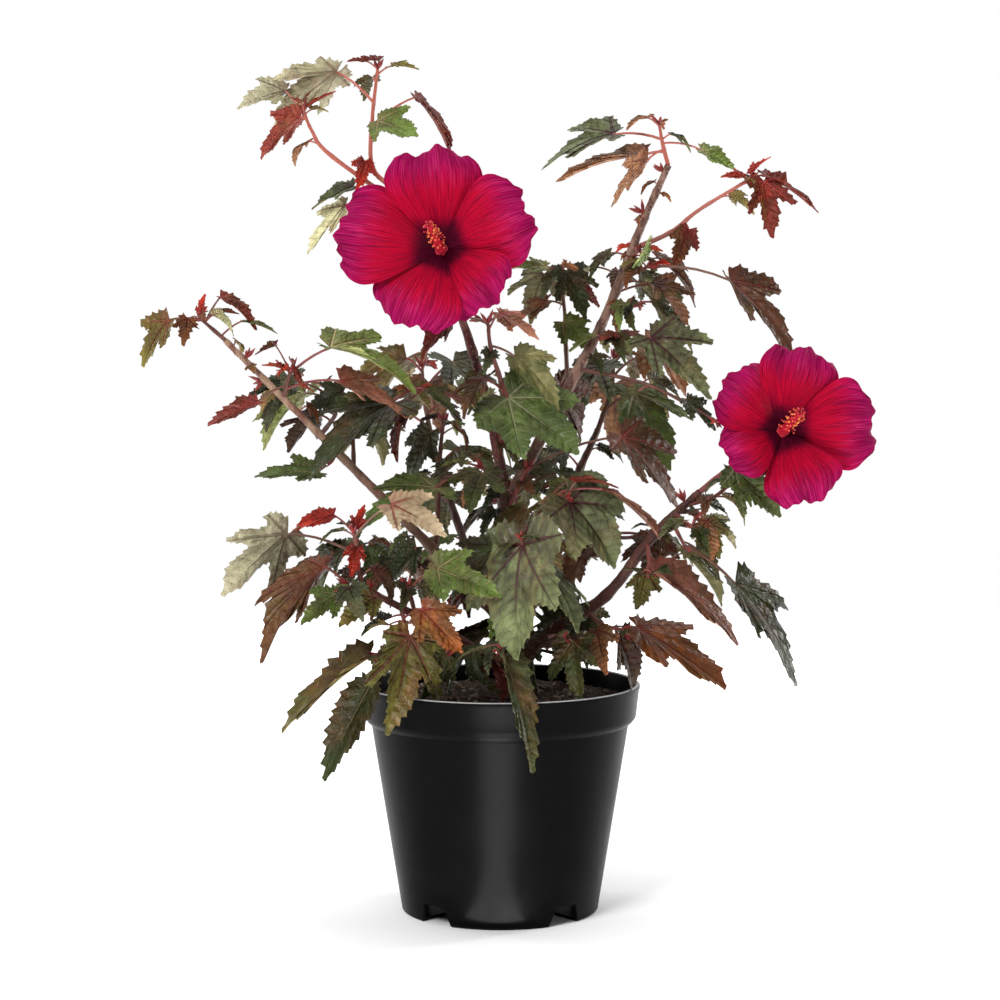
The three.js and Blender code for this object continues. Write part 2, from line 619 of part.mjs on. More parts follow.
shoot("twigs_centre_high", ["bough_right_leader", 0.24], [[45, 22, 380], [44, 28, 408], [40, 20, 432]], [2, 1.2], [
  leaf(0.5, [110, 6], [-40, 34], -30, 60),
  leaf(1, [20, 6], [-62, 36], -14, 45, FIVE_LOBED),
  leaf(0.9, [20, 8], [-32, 28], -4, 40),
  leaf(1, [150, 10], [178, 26], -10, 30),
  leaf(0.7, [165, 12], [205, 34], 10, 40),
], { more: 2, size: 36 });

shoot("twigs_centre_brown", ["bough_right_leader", 0.15], [[34, 20, 344]], [1.8, 1.4], [
  leaf(1, [60, 10], [-48, 55], 10, 58, FIVE_LOBED),
], { more: 2, size: 44 });

shoot("twigs_centre_right", ["trunk", 0.84], [[18, -14, 300]], [1.8, 1.5], [
  leaf(1, [20, 68], [-40, 62], -8, 48, FIVE_LOBED),
], { more: 2, size: 46 });

// The shoots low on the right

shoot("flowering_twig_right", ["bough_right_low", 1], [[162, -46, 312], [184, -52, 330]], [2.2, 3], [], {
  bloom: {
    eye: [185, -74, 331], face: [0.06, -0.98, 0.16], cup: 14, column: [6, -17, 10],
    petals: [[76, 54, 27], [142, 50, 25], [203, 43, 22], [-72, 50, 26], [4, 58, 30]],
  },
});

shoot("twigs_under_bloom", ["bough_right_low", 0.88], [[140, -54, 285], [149, -57, 293]], [1.6, 1.4], [
  leaf(1, [70, 12], [-42, 46], -4, 65, FIVE_LOBED),
]);

shoot("twigs_right_low_spur", ["bough_right_low", 0.82], [[124, -62, 266], [127, -66, 272]], [1.6, 1.2], [
  leaf(0.95, [0, 8], [-80, 27], -12, 50),
  leaf(0.95, [-10, 9], [-75, 26], -10, 70),
]);

shoot("leaf_low_long_stalk", ["bough_right_low", 0.78], [[121, -52, 253]], [1.5, 1.3], [
  leaf(1, [-37, 42], [-45, 78], -10, 17),
]);

shoot("twigs_right_skirt", ["bough_right_low", 0.62], [[98, -58, 238]], [1.7, 1.4], [
  leaf(1, [-50, 4], [-23, 73], -4, 17, NARROW),
  leaf(0.75, [-110, 6], [-100, 28], -20, 60),
]);

shoot("twigs_right_middle", ["trunk", 0.62], [[32, -30, 282], [44, -40, 284]], [2, 1.3], [
  leaf(1, [-60, 4], [-44, 54], -9, 60, BROAD),
  leaf(1, [60, 12], [8, 28], 4, 10),
  leaf(0.7, [5, 34], [-32, 48], -12, 15, NARROW),
], { more: 3, size: 40 });

shoot("twigs_rim_right", ["bough_right_low", 0.27], [[68, -48, 200], [80, -58, 198]], [1.9, 1.3], [
  leaf(1, [10, 10], [-30, 71], -2, 20),
  leaf(0.8, [-60, 5], [-62, 44], -16, 50),
  leaf(0.55, [200, 8], [-84, 34], -22, 60),
]);

shoot("twigs_rim_front", ["trunk", 0.2], [[28, -42, 190], [42, -64, 194]], [1.9, 1.3], [
  leaf(1, [-20, 6], [-86, 40], -12, 85, FIVE_LOBED),
  leaf(0.7, [190, 14], [-100, 34], -22, 70),
], { more: 2, size: 38 });

shoot("twigs_hanging_front", ["trunk", 0.13], [[4, -50, 188], [0, -92, 190]], [1.9, 1.4], [
  leaf(1, [-60, 6], [-68, 76], -13, 24, SLENDER),
]);

// The shoots at the front and low on the left

shoot("twigs_front_centre", ["trunk", 0.36], [[12, -46, 244], [14, -80, 260]], [2.2, 1.5], [
  leaf(1, [-80, 4], [-102, 74], -20, 80, BROAD),
  leaf(0.6, [170, 14], [208, 46], 8, 35),
], { more: 3, size: 46 });

shoot("twigs_front_low", ["bough_left_low", 0.22], [[-22, -48, 184], [-30, -64, 186]], [1.8, 1.3], [
  leaf(1, [200, 6], [-112, 34], -12, 80),
  leaf(0.8, [-20, 8], [-62, 34], -22, 80),
], { more: 3, size: 38 });

shoot("twigs_rim_left", ["bough_left_low", 0.72], [[-62, -78, 206]], [1.8, 1.5], [
  leaf(1, [-70, 10], [-98, 66], -13, 80, FIVE_LOBED),
  leaf(0.8, [30, 14], [-48, 40], -10, 50),
]);

shoot("twigs_rim_left_low", ["bough_left_low", 0.5], [[-70, -48, 186], [-80, -58, 182]], [1.8, 1.3], [
  leaf(1, [200, 6], [210, 77], -2, 17, NARROW),
  leaf(1, [-102, 20], [239, 70], -14, 30, SLENDER),
]);

shoot("twigs_left_low_tip", ["bough_left_low", 1], [[-92, -66, 240], [-95, -66, 262]], [2, 1.3], [
  leaf(1, [138, 18], [191, 31], 6, 20, NARROW),
  leaf(1, [60, 4], [75, 16], 0, 40),
  leaf(0.9, [-80, 4], [-95, 20], -25, 50),
  leaf(0.95, [42, 38], [-22, 42], -28, 25),
  leaf(0.7, [163, 47], [219, 58], -2, -64, FIVE_LOBED),
]);

shoot("twigs_left_low_side", ["bough_left_low", 0.9], [[-98, -74, 228]], [1.6, 1.3], [
  leaf(1, [140, 20], [222, 74], 2, -35, FIVE_LOBED),
  leaf(0.8, [200, 12], [212, 30], -16, 50),
  leaf(0.7, [-20, 14], [215, 30], -30, 50),
]);

shoot("twigs_left_low_inner", ["bough_left_low", 0.62], [[-60, -58, 226]], [1.7, 1.4], [
  leaf(1, [79, 27], [228, 32], 4, 55),
  leaf(0.9, [40, 30], [-18, 46], -18, 45),
]);

// The shoots high on the left

shoot("twigs_left_upright", ["bough_left_high", 0.28], [[-42, 12, 275], [-41, 22, 308], [-39, 22, 330]], [2.4, 1.4], [
  leaf(0.94, [195, 8], [-122, 42], -8, 50),
  leaf(0.5, [10, 14], [-20, 30], -6, -40),
], { more: 3, size: 44 });

shoot("twigs_left_high_middle", ["bough_left_high", 0.79], [[-139, -32, 366]], [1.7, 1.3], [
  leaf(1, [70, 7], [-70, 24], -12, 80, FIVE_LOBED),
  leaf(0.5, [209, 22], [202, 38], -6, 25, NARROW),
  leaf(1, [118, 20], [190, 15], 6, 20),
  leaf(0.9, [33, 33], [-9, 64], 4, 15, FIVE_LOBED),
  leaf(0.35, [9, 38], [-18, 50], -10, 14),
]);

shoot("twigs_left_high_inner", ["bough_left_high", 0.55], [[-99, -4, 322]], [1.8, 1.5], [
  leaf(1, [102, 31], [200, 29], -12, 60),
  leaf(0.9, [223, 32], [175, 43], -16, 35),
]);

shoot("twigs_left_far", ["bough_left_high", 1], [[-197, -25, 400]], [1.8, 1.2], [
  leaf(1, [178, 22], [228, 38], -2, 50),
  leaf(1, [170, 12], [-95, 20], -16, 40),
  leaf(1, [100, 4], [95, 14], 0, 30),
  leaf(0.9, [59, 20], [-29, 32], 4, 15, NARROW),
  leaf(0.2, [36, 18], [-11, 24], 8, 10, NARROW),
]);

shoot("twigs_left_high_back", ["bough_left_high", 0.66], [[-112, 22, 338], [-118, 42, 350]], [1.9, 1.2], [], {
  more: 4, size: 48, middle: [-116, 34, 336], reach: 84,
});

// The shoots behind, which fill the crown out all round

shoot("twigs_back_left_tip", ["bough_back_left", 1], [[-54, 112, 340], [-56, 118, 366]], [2.2, 1.2], [], {
  more: 6, size: 56, middle: [-54, 112, 338], reach: 92,
});
shoot("twigs_back_left_low", ["bough_back_left", 0.5], [[-70, 76, 232], [-98, 88, 240]], [2, 1.2], [], {
  more: 5, size: 56, middle: [-84, 82, 226], reach: 92,
});
shoot("twigs_back_right_tip", ["bough_back_right", 1], [[80, 112, 350], [82, 116, 372]], [2.2, 1.2], [], {
  more: 7, size: 52, middle: [78, 112, 346], reach: 88,
});
shoot("twigs_back_right_low", ["bough_back_right", 0.52], [[84, 66, 248], [112, 74, 254]], [2, 1.2], [], {
  more: 6, size: 56, middle: [92, 74, 240], reach: 92,
});
shoot("twigs_back_middle", ["bough_back_right", 0.3], [[14, 84, 262], [10, 108, 282]], [2, 1.2], [], {
  more: 5, size: 54, middle: [12, 98, 264], reach: 88,
});

function buildShoots() {
  shoots.forEach((plan, index) => startShoot(plan, index + 1));
  shoots.forEach(growPlaced);
  shoots.forEach(growMore);
  for (const plan of shoots) {
    let stem = taper(plan.curve, plan.radiusAt, TWIG_SIDES, TWIG_STEP);
    for (const limb of Object.values(limbs)) stem = stem.subtract(limb.grown);
    const pieces = [wholeOf(stem), ...plan.grown.map(leafSolid)];
    if (plan.bloom) pieces.push(...bloomSolids(plan));
    addNode(plan.name, wasm.Manifold.union(pieces), plan.bloom ? finish.petal : finish.leaf);
  }
}

buildPot();
buildSoil();
growLimbs();
buildShoots();

export default shrub;
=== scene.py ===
# A flowering hibiscus shrub in its nursery pot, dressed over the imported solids.
# Lengths are in millimetres here, as in the part's source, and become metres when a mesh is made.
import math

import bpy
import numpy as np
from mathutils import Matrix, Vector


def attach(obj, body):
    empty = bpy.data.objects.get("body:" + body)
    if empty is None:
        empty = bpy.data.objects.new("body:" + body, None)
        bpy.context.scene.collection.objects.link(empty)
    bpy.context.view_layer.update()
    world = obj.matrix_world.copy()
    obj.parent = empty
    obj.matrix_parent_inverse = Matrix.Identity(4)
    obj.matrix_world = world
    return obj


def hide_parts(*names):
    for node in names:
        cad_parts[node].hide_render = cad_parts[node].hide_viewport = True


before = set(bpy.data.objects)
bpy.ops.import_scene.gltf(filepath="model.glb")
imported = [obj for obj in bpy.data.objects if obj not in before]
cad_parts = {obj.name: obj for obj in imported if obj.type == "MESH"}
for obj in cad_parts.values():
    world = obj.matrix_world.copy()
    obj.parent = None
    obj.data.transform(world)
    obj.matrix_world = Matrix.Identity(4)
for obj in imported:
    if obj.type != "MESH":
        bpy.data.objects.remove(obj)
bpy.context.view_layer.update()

MM = 0.001
DEG = math.pi / 180

# Camera, in metres and degrees

CAMERA_PLACE = (0, -1.686, 0.400)
CAMERA_DIP = 4.1
LENS = 90
SENSOR = 36


def set_camera():
    data = bpy.data.cameras.new("camera")
    data.lens = LENS
    data.sensor_width = SENSOR
    camera = bpy.data.objects.new("camera", data)
    camera.location = CAMERA_PLACE
    camera.rotation_euler = (math.radians(90 - CAMERA_DIP), 0, 0)
    bpy.context.scene.collection.objects.link(camera)
    bpy.context.scene.camera = camera


set_camera()

# Paints: a small wrapper so that shader sums read as sums


class Number:
    """A number that comes out of a shader node."""

    def __init__(self, paint, socket):
        self.paint = paint
        self.socket = socket

    def __add__(self, other):
        return self.paint.maths("ADD", self, other)

    __radd__ = __add__

    def __mul__(self, other):
        return self.paint.maths("MULTIPLY", self, other)

    __rmul__ = __mul__

    def __sub__(self, other):
        return self.paint.maths("SUBTRACT", self, other)

    def __rsub__(self, other):
        return self.paint.maths("SUBTRACT", other, self)

    def __truediv__(self, other):
        return self.paint.maths("DIVIDE", self, other)

    def __rtruediv__(self, other):
        return self.paint.maths("DIVIDE", other, self)


class Paint:
    """One material and the nodes that make it."""

    def __init__(self, name, roughness, specular=0.5):
        self.material = bpy.data.materials.new(name)
        self.material.use_nodes = True
        self.tree = self.material.node_tree
        self.shader = self.tree.nodes["Principled BSDF"]
        self.shader.inputs["Roughness"].default_value = roughness
        self.shader.inputs["Specular IOR Level"].default_value = specular

    def feed(self, socket, value):
        if isinstance(value, Number):
            self.tree.links.new(value.socket, socket)
        else:
            socket.default_value = value

    def node(self, kind, settings=None, inputs=None, output=0):
        made = self.tree.nodes.new(kind)
        for key, value in (settings or {}).items():
            setattr(made, key, value)
        for key, value in (inputs or {}).items():
            self.feed(made.inputs[key], value)
        return Number(self, made.outputs[output])

    def maths(self, operation, *values):
        return self.node("ShaderNodeMath", {"operation": operation}, dict(enumerate(values)))

    def step(self, value, low, high):
        """0 below low, 1 above high, with a soft rise in between."""
        settings = {"interpolation_type": "SMOOTHSTEP"}
        return self.node("ShaderNodeMapRange", settings, {"Value": value, "From Min": low, "From Max": high})

    def mix(self, share, first, second, blend="MIX"):
        settings = {"data_type": "RGBA", "blend_type": blend}
        return self.node("ShaderNodeMix", settings, {0: share, 6: first, 7: second}, output=2)

    def spots(self):
        return self.node("ShaderNodeTexCoord", output="Object")

    def height(self):
        """How high a place is, in metres."""
        return self.node("ShaderNodeSeparateXYZ", None, {0: self.spots()}, output=2)

    def places(self, stretch=(1, 1, 1)):
        return self.node("ShaderNodeMapping", None, {"Vector": self.spots(), "Scale": stretch})

    def noise(self, scale, detail=3, stretch=(1, 1, 1), vector=None):
        vector = vector or self.places(stretch)
        return self.node("ShaderNodeTexNoise", None, {"Vector": vector, "Scale": scale, "Detail": detail})

    def cells(self, scale):
        return self.node("ShaderNodeTexVoronoi", None, {"Vector": self.places(), "Scale": scale})

    def attribute(self, name):
        return self.node("ShaderNodeAttribute", {"attribute_name": name}, output="Fac")

    def across_and_along(self, name):
        """The two numbers of one of the piece's own maps."""
        spot = self.node("ShaderNodeUVMap", {"uv_map": name})
        return [self.node("ShaderNodeSeparateXYZ", None, {0: spot}, output=k) for k in (0, 1)]

    def colour(self, value):
        self.feed(self.shader.inputs["Base Color"], value)

    def roughness(self, value):
        self.feed(self.shader.inputs["Roughness"], value)

    def relief(self, height, depth):
        """Bumps of a depth in millimetres where height goes from 0 to 1."""
        inputs = {"Height": height, "Distance": depth * MM, "Strength": 1.0}
        self.feed(self.shader.inputs["Normal"], self.node("ShaderNodeBump", None, inputs))


def tint(red, green, blue):
    """A colour given as it shows on a screen, from 0 to 255."""
    shares = [c / 255 for c in (red, green, blue)]
    linear = [c / 12.92 if c <= 0.04045 else ((c + 0.055) / 1.055) ** 2.4 for c in shares]
    return (*linear, 1)


def shaded(colour, amount):
    """The same colour, lighter or darker."""
    return (*(min(1, c * amount) for c in colour[:3]), 1)

# The growth rule, the same as in the part's source

GAP = 0.35
SOIL_TOP = 145
RIM_RADIUS = 95
FLARE = 6
FLARE_HEIGHT = 26
STALK_BOW = 0.07
SKY_LEAN = 0.35
LEANS = (0, -8, 8, -16, 16, -24, 24, -32, 32)
LEAF_TURN = 137.5
STALK_SPREAD = 58
TRIES = 9
TRY_TURN = 47
LEAF_CLEAR = 0.13
LIMB_CLEAR = 5
RIM_CLEAR = 4
BLOOM_CLEAR = 13
LONG_LEAF = 33
SPACE_SEAT = 0.7
SPACE_REACH = 1.7

UP = np.array((0.0, 0.0, 1.0))
VIEWER = np.array((0.0, -1.0, 0.0))

# A blade's half outline: degrees from the midrib and the reach, as a share of the blade's length
FIVE_LOBED = ((0, 1), (13, 0.74), (27, 0.42), (41, 0.76), (62, 0.34), (86, 0.4))
BROAD = ((0, 1), (14, 0.84), (28, 0.64), (44, 0.86), (66, 0.58), (90, 0.6))
THREE_LOBED = ((0, 1), (14, 0.72), (29, 0.47), (44, 0.62), (82, 0.26))
NARROW = ((0, 1), (13, 0.7), (36, 0.42))
SLENDER = ((0, 1), (12, 0.66), (30, 0.34))


def seeded(seed):
    """Repeatable random numbers from 0 to 1."""
    state = seed & 0xFFFFFFFF
    while True:
        state = (state * 1664525 + 1013904223) & 0xFFFFFFFF
        yield state / 4294967296


def between(random, low, high):
    return low + (high - low) * next(random)


def unit(way):
    return way / np.linalg.norm(way)


def turned(way, axis, angle):
    """A direction turned round an axis, by degrees."""
    cos, sin = math.cos(angle * DEG), math.sin(angle * DEG)
    return way * cos + np.cross(axis, way) * sin + axis * (axis @ way) * (1 - cos)


class Line:
    """A smooth line through a few places."""

    def __init__(self, places):
        self.places = [np.array(p, float) for p in places]

    def at(self, t):
        last = len(self.places) - 1
        k = min(int(last * t), last - 1)
        w = last * t - k
        start, end = self.places[k], self.places[k + 1]
        before = self.places[k - 1] if k > 0 else 2 * start - end
        after = self.places[k + 2] if k + 2 <= last else 2 * end - start
        leave, arrive = 0.5 * (end - before), 0.5 * (after - start)
        bend = 3 * (end - start) - 2 * leave - arrive
        close = 2 * (start - end) + leave + arrive
        return start + leave * w + bend * w**2 + close * w**3

    def way(self, t):
        return unit(self.at(min(1, t + 1e-4)) - self.at(max(0, t - 1e-4)))

    def length(self):
        spots = np.array([self.at(k / 200) for k in range(201)])
        return np.linalg.norm(np.diff(spots, axis=0), axis=1).sum()


class Limb:
    """The trunk or one bough: its line and how thick it is along it."""

    def __init__(self, places, thick, thin, flared=False):
        self.line = Line(places)
        self.long = self.line.length()
        self.thick, self.thin, self.flared = thick, thin, flared

    def radius(self, t):
        foot = FLARE * max(0, 1 - t * self.long / FLARE_HEIGHT) ** 2 if self.flared else 0
        return self.thick + (self.thin - self.thick) * t + foot


limbs = {
    "trunk": Limb([(11, 0, SOIL_TOP - 8), (9, 2, 190), (6, 5, 245), (2, 5, 292)], 7, 5.3, flared=True),
    "bough_left_leader": Limb([(2, 5, 292), (-8, 10, 342), (-31, 20, 414), (-70, 10, 488)], 4.1, 2.4),
    "bough_right_leader": Limb(
        [(4, 5, 276), (47, 0, 357), (70, 12, 400), (95, 18, 462), (114, 20, 505)], 4.4, 2.3
    ),
    "bough_right_low": Limb([(9, 2, 176), (67, -20, 213), (102, -38, 259), (131, -50, 288)], 4.8, 2.6),
    "bough_left_high": Limb([(8, 2, 190), (-54, -10, 256), (-121, -20, 325), (-182, -25, 387)], 4.3, 2),
    "bough_left_low": Limb([(10, 1, 163), (-44, -48, 200), (-90, -65, 227)], 3.2, 2.2),
    "bough_back_left": Limb([(9, 2, 182), (-22, 56, 238), (-46, 100, 305)], 4.2, 2.4),
    "bough_back_right": Limb([(8, 3, 204), (40, 62, 262), (70, 104, 322)], 4.2, 2.4),
}


class Crowd:
    """Places that are taken, each with the room it needs and its owner."""

    def __init__(self):
        self.spots, self.rooms, self.owners = [], [], []
        self.leaves = []

    def note_line(self, owner, line, radius):
        steps = math.ceil(line.length() / LIMB_CLEAR)
        for k in range(steps + 1):
            self.note(owner, line.at(k / steps), radius(k / steps) + LIMB_CLEAR)

    def note(self, owner, spot, room):
        self.spots.append(spot)
        self.rooms.append(room)
        self.owners.append(owner)

    def settle(self):
        self.spot_table = np.array(self.spots)
        self.room_table = np.array(self.rooms)
        self.owner_table = np.array(self.owners)

    def has_room(self, leaf, owner, ease=1.0):
        places = leaf.feelers()
        radial = np.hypot(places[:, 0], places[:, 1])
        clear = ease * RIM_CLEAR
        if np.any((places[:, 2] < SOIL_TOP + clear) & (radial < RIM_RADIUS + clear)):
            return False
        others = self.owner_table != owner
        gaps = np.linalg.norm(places[:, None] - self.spot_table[others][None], axis=2)
        if np.any(gaps < ease * self.room_table[others]):
            return False
        for other in self.leaves:
            if np.linalg.norm(other.tip - leaf.tip) < other.length + leaf.length:
                near = ease * LEAF_CLEAR * (leaf.length + other.length) / 2
                if np.linalg.norm(places[:, None] - other.feelers()[None], axis=2).min() < near:
                    return False
        return True


crowd = Crowd()


def heading(angle, lean):
    """A direction seen from the front: degrees anticlockwise from +X, then of lean away from the viewer."""
    level = math.cos(lean * DEG)
    return np.array((math.cos(angle * DEG) * level, math.sin(lean * DEG), math.sin(angle * DEG) * level))


def upper_side(midrib, face, outward):
    """A blade's upper side: turned from the sky towards the viewer, round the midrib."""
    sky = UP + SKY_LEAN * outward
    to_sky = unit(sky - midrib * (sky @ midrib))
    to_viewer = np.cross(midrib, to_sky)
    if to_viewer @ VIEWER < 0:
        to_viewer = -to_viewer
    return to_sky * math.cos(face * DEG) + to_viewer * math.sin(face * DEG)


class Leaf:
    """Where a leaf sits and how its blade is turned, bent and cut."""

    def __init__(self, root, stalk_way, stalk_long, midrib, upper, length, form, curl, fold, tone):
        self.root, self.midrib, self.upper = root, midrib, upper
        self.tip = root + stalk_way * stalk_long
        self.bow = (root + self.tip) / 2 + UP * stalk_long * STALK_BOW
        self.across = np.cross(upper, midrib)
        self.length, self.form, self.curl, self.fold, self.tone = length, form, curl, fold, tone
        self.felt = None

    def on_blade(self, reach, angle, rise=0):
        """Places on the blade, bent down like an umbrella and folded up a little."""
        reach, angle = np.asarray(reach, float), np.asarray(angle, float)
        bend = self.curl * DEG / self.length
        out = np.sin(bend * reach) / bend
        down = (1 - np.cos(bend * reach)) / bend
        aside = out * np.sin(angle * DEG)
        lift = np.abs(aside) * math.sin(self.fold * DEG) - down + rise
        ahead = out * np.cos(angle * DEG)
        wide = aside * math.cos(self.fold * DEG)
        spots = self.tip + ahead[..., None] * self.midrib
        return spots + wide[..., None] * self.across + lift[..., None] * self.upper

    def feelers(self):
        """Places on the leaf that keep clear of other leaves and limbs."""
        if self.felt is None:
            spots = []
            for share in (0.45, 0.7, 0.9):
                low = self.root + (self.bow - self.root) * min(1, share * 2)
                spots.append(low + (self.tip - low) * max(0, share * 2 - 1))
            reaches, angles = [], []
            for angle, reach in self.form:
                for side in (1,) if angle == 0 else (1, -1):
                    for share in (0.33, 0.66, 1) if reach > 0.6 else (1,):
                        reaches.append(self.length * reach * share)
                        angles.append(angle * side)
            self.felt = np.vstack([spots, self.on_blade(reaches, angles)])
        return self.felt


class Shoot:
    """A twig that grows from a limb, with its leaves, and a bloom on two of them."""

    def __init__(self, name, on, through, thick, plans, more=0, size=50, middle=None, reach=None, bloom=None):
        self.name, self.plans, self.more, self.size, self.bloom = name, plans, more, size, bloom
        limb, at = on
        start = limbs[limb].line.at(at)
        self.line = Line([start, *through])
        self.thick = thick
        self.outward = unit(start * np.array((1, 1, 0)))
        self.middle = self.line.at(SPACE_SEAT) if middle is None else np.array(middle, float)
        self.reach = reach or SPACE_REACH * size
        self.leaves = []

    def radius(self, t):
        return self.thick[0] + (self.thick[1] - self.thick[0]) * t


shoots = []


def leaf(at, stalk, blade, lean, face, tone, form=THREE_LOBED):
    """A leaf as listed: its seat along the twig, its stalk and its blade as (angle, length)."""
    return {"at": at, "stalk": stalk, "blade": blade, "lean": lean, "face": face, "tone": tone, "form": form}


def shoot(name, on, through, thick, plans, **options):
    made = Shoot(name, on, through, thick, plans, **options)
    shoots.append(made)
    made.random = seeded(len(shoots) * 7919 + 17)

# The shoots of the left leader

shoot("twigs_left_top", ["bough_left_leader", 1],
      [[-86, 10, 503], [-86, 10, 535], [-82, 5, 568]], [2.2, 1.2], [
    leaf(0.78, [140, 33], [211, 58], 9, -30, "pale", FIVE_LOBED),
    leaf(1, [80, 6], [165, 17], 0, 30, "maroon"),
    leaf(0.62, [34, 36], [-48, 48], 4, 20, "maroon", NARROW),
    leaf(0.62, [40, 8], [-20, 40], -22, 35, "green"),
    leaf(0.4, [200, 5], [-100, 22], -25, 60, "red"),
])

shoot("twigs_left_top_side", ["bough_left_leader", 0.94],
      [[-114, 0, 511], [-126, 0, 527], [-131, 0, 539]], [1.9, 1.1], [
    leaf(0.6, [123, 36], [186, 34], 12, -28, "pale"),
    leaf(0.85, [150, 5], [213, 40], 4, -35, "maroon"),
    leaf(1, [60, 4], [35, 22], 0, 20, "red", NARROW),
])

shoot("twigs_left_shoulder", ["bough_left_leader", 0.84], [[-90, 2, 478]], [1.7, 1.3], [
    leaf(1, [125, 15], [200, 33], 6, 35, "grey_green"),
    leaf(0.85, [170, 20], [226, 42], -12, 45, "pale"),
])

shoot(
    "twigs_left_back", ["bough_left_leader", 0.72], [[-52, 44, 462], [-56, 60, 480]], [1.9, 1.2], [],
    more=4, size=44, middle=[-58, 52, 470], reach=74,
)

shoot(
    "flowering_twig_left", ["bough_left_leader", 0.57], [[-44, -14, 447], [-39, -42, 449]], [2.1, 3], [],
    bloom={
        "eye": [-39, -64, 449], "face": [-0.04, -0.98, 0.16], "cup": 15, "column": [-6, -19, 11],
        "petals": [[96, 64, 32], [22, 62, 31], [-48, 51, 27], [-112, 56, 31], [171, 67, 34]],
    },
)

shoot("twigs_centre_top", ["bough_left_leader", 0.1],
      [[3, -18, 347], [-6, -28, 381], [-8, -28, 398]], [2.3, 1.3], [
    leaf(1, [168, 22], [220, 38], -6, 45, "maroon"),
    leaf(0.9, [60, 14], [-24, 32], -10, 45, "pinkish"),
    leaf(0.45, [-66, 13], [-33, 60], -20, 58, "bright_green", BROAD),
    leaf(0.7, [-23, 18], [-38, 46], 8, -25, "dark_green"),
], more=2, size=40)

shoot("twigs_left_middle", ["bough_left_leader", 0.32], [[-40, 2, 352], [-58, -8, 354]], [2, 1.3], [
    leaf(0.8, [220, 12], [-115, 42], -10, 32, "maroon"),
    leaf(1, [212, 19], [205, 76], -20, 40, "dark_green", FIVE_LOBED),
], more=2, size=46)

shoot("twigs_left_inner", ["trunk", 0.96], [[-12, -12, 302]], [1.8, 1.5], [
    leaf(1, [202, 40], [188, 62], -10, 25, "green", FIVE_LOBED),
    leaf(0.8, [160, 20], [215, 38], -30, 40, "dark_green"),
], more=2, size=48)

# The shoots of the right leader

shoot("twigs_right_top", ["bough_right_leader", 1], [[110, 20, 520], [108, 20, 532]], [1.8, 1.2], [
    leaf(0.6, [174, 33], [188, 54], 4, 32, "grey_green", FIVE_LOBED),
    leaf(0.3, [190, 16], [183, 60], 12, 15, "brown", NARROW),
    leaf(0.35, [212, 14], [222, 42], -12, -45, "brown"),
    leaf(0.5, [-10, 27], [-25, 28], -4, 35, "green"),
])

shoot("twigs_right_side", ["bough_right_leader", 0.69],
      [[116, 20, 460], [135, 15, 475], [168, 5, 495]], [2.1, 1.2], [
    leaf(1, [70, 4], [60, 17], 0, 40, "red"),
    leaf(1, [160, 4], [168, 16], -10, 30, "red"),
    leaf(0.93, [10, 17], [-78, 38], -8, 65, "maroon", FIVE_LOBED),
    leaf(1, [15, 10], [-24, 46], 6, 10, "maroon", NARROW),
    leaf(0.5, [-60, 6], [-112, 28], -8, 30, "maroon"),
])

shoot("twigs_right_front", ["bough_right_leader", 0.66], [[93, -6, 447]], [1.5, 1.3], [
    leaf(1, [50, 10], [-110, 24], -35, 78, "bright_green"),
])

shoot("leaf_right_long_stalk", ["bough_right_leader", 0.61], [[99, 12, 436]], [1.5, 1.3], [
    leaf(1, [-9, 57], [-40, 64], -8, 32, "dark_brown"),
])

shoot("twigs_right_upper", ["bough_right_leader", 0.52], [[86, 8, 410]], [1.5, 1.3], [
    leaf(1, [8, 18], [-44, 44], 4, 26, "dark_green", NARROW),
])

shoot("twigs_right_green", ["bough_right_leader", 0.44], [[80, 0, 390]], [1.6, 1.4], [
    leaf(1, [-5, 24], [-38, 58], -22, 45, "grey_green", FIVE_LOBED),
])

shoot("twigs_right_thin", ["bough_right_leader", 0.3], [[100, -14, 357], [143, -25, 334]], [1.6, 1], [
    leaf(0.45, [30, 6], [-20, 24], 6, 20, "dark_green"),
    leaf(0.72, [0, 5], [-38, 28], -14, 40, "dark_green"),
    leaf(1, [-10, 4], [-20, 24], 0, 20, "dark_green", NARROW),
])

shoot(
    "twigs_right_back", ["bough_right_leader", 0.56], [[84, 48, 424], [88, 66, 438]], [1.9, 1.2], [],
    more=4, size=46, middle=[88, 58, 425], reach=78,
)

shoot("twigs_centre_high", ["bough_right_leader", 0.24],
      [[45, 22, 380], [44, 28, 408], [40, 20, 432]], [2, 1.2], [
    leaf(0.5, [110, 6], [-40, 34], -30, 60, "green"),
    leaf(1, [20, 6], [-62, 36], -14, 45, "dark_green", FIVE_LOBED),
    leaf(0.9, [20, 8], [-32, 28], -4, 40, "maroon"),
    leaf(1, [150, 10], [178, 26], -10, 30, "green"),
    leaf(0.7, [165, 12], [205, 34], 10, 40, "brown"),
], more=2, size=36)

shoot("twigs_centre_brown", ["bough_right_leader", 0.15], [[34, 20, 344]], [1.8, 1.4], [
    leaf(1, [60, 10], [-48, 55], 10, 58, "dark_brown", FIVE_LOBED),
], more=2, size=44)

shoot("twigs_centre_right", ["trunk", 0.84], [[18, -14, 300]], [1.8, 1.5], [
    leaf(1, [20, 68], [-40, 62], -8, 48, "dark_brown", FIVE_LOBED),
], more=2, size=46)

# The shoots low on the right

shoot(
    "flowering_twig_right", ["bough_right_low", 1], [[162, -46, 312], [184, -52, 330]], [2.2, 3], [],
    bloom={
        "eye": [185, -74, 331], "face": [0.06, -0.98, 0.16], "cup": 14, "column": [6, -17, 10],
        "petals": [[76, 54, 27], [142, 50, 25], [203, 43, 22], [-72, 50, 26], [4, 58, 30]],
    },
)

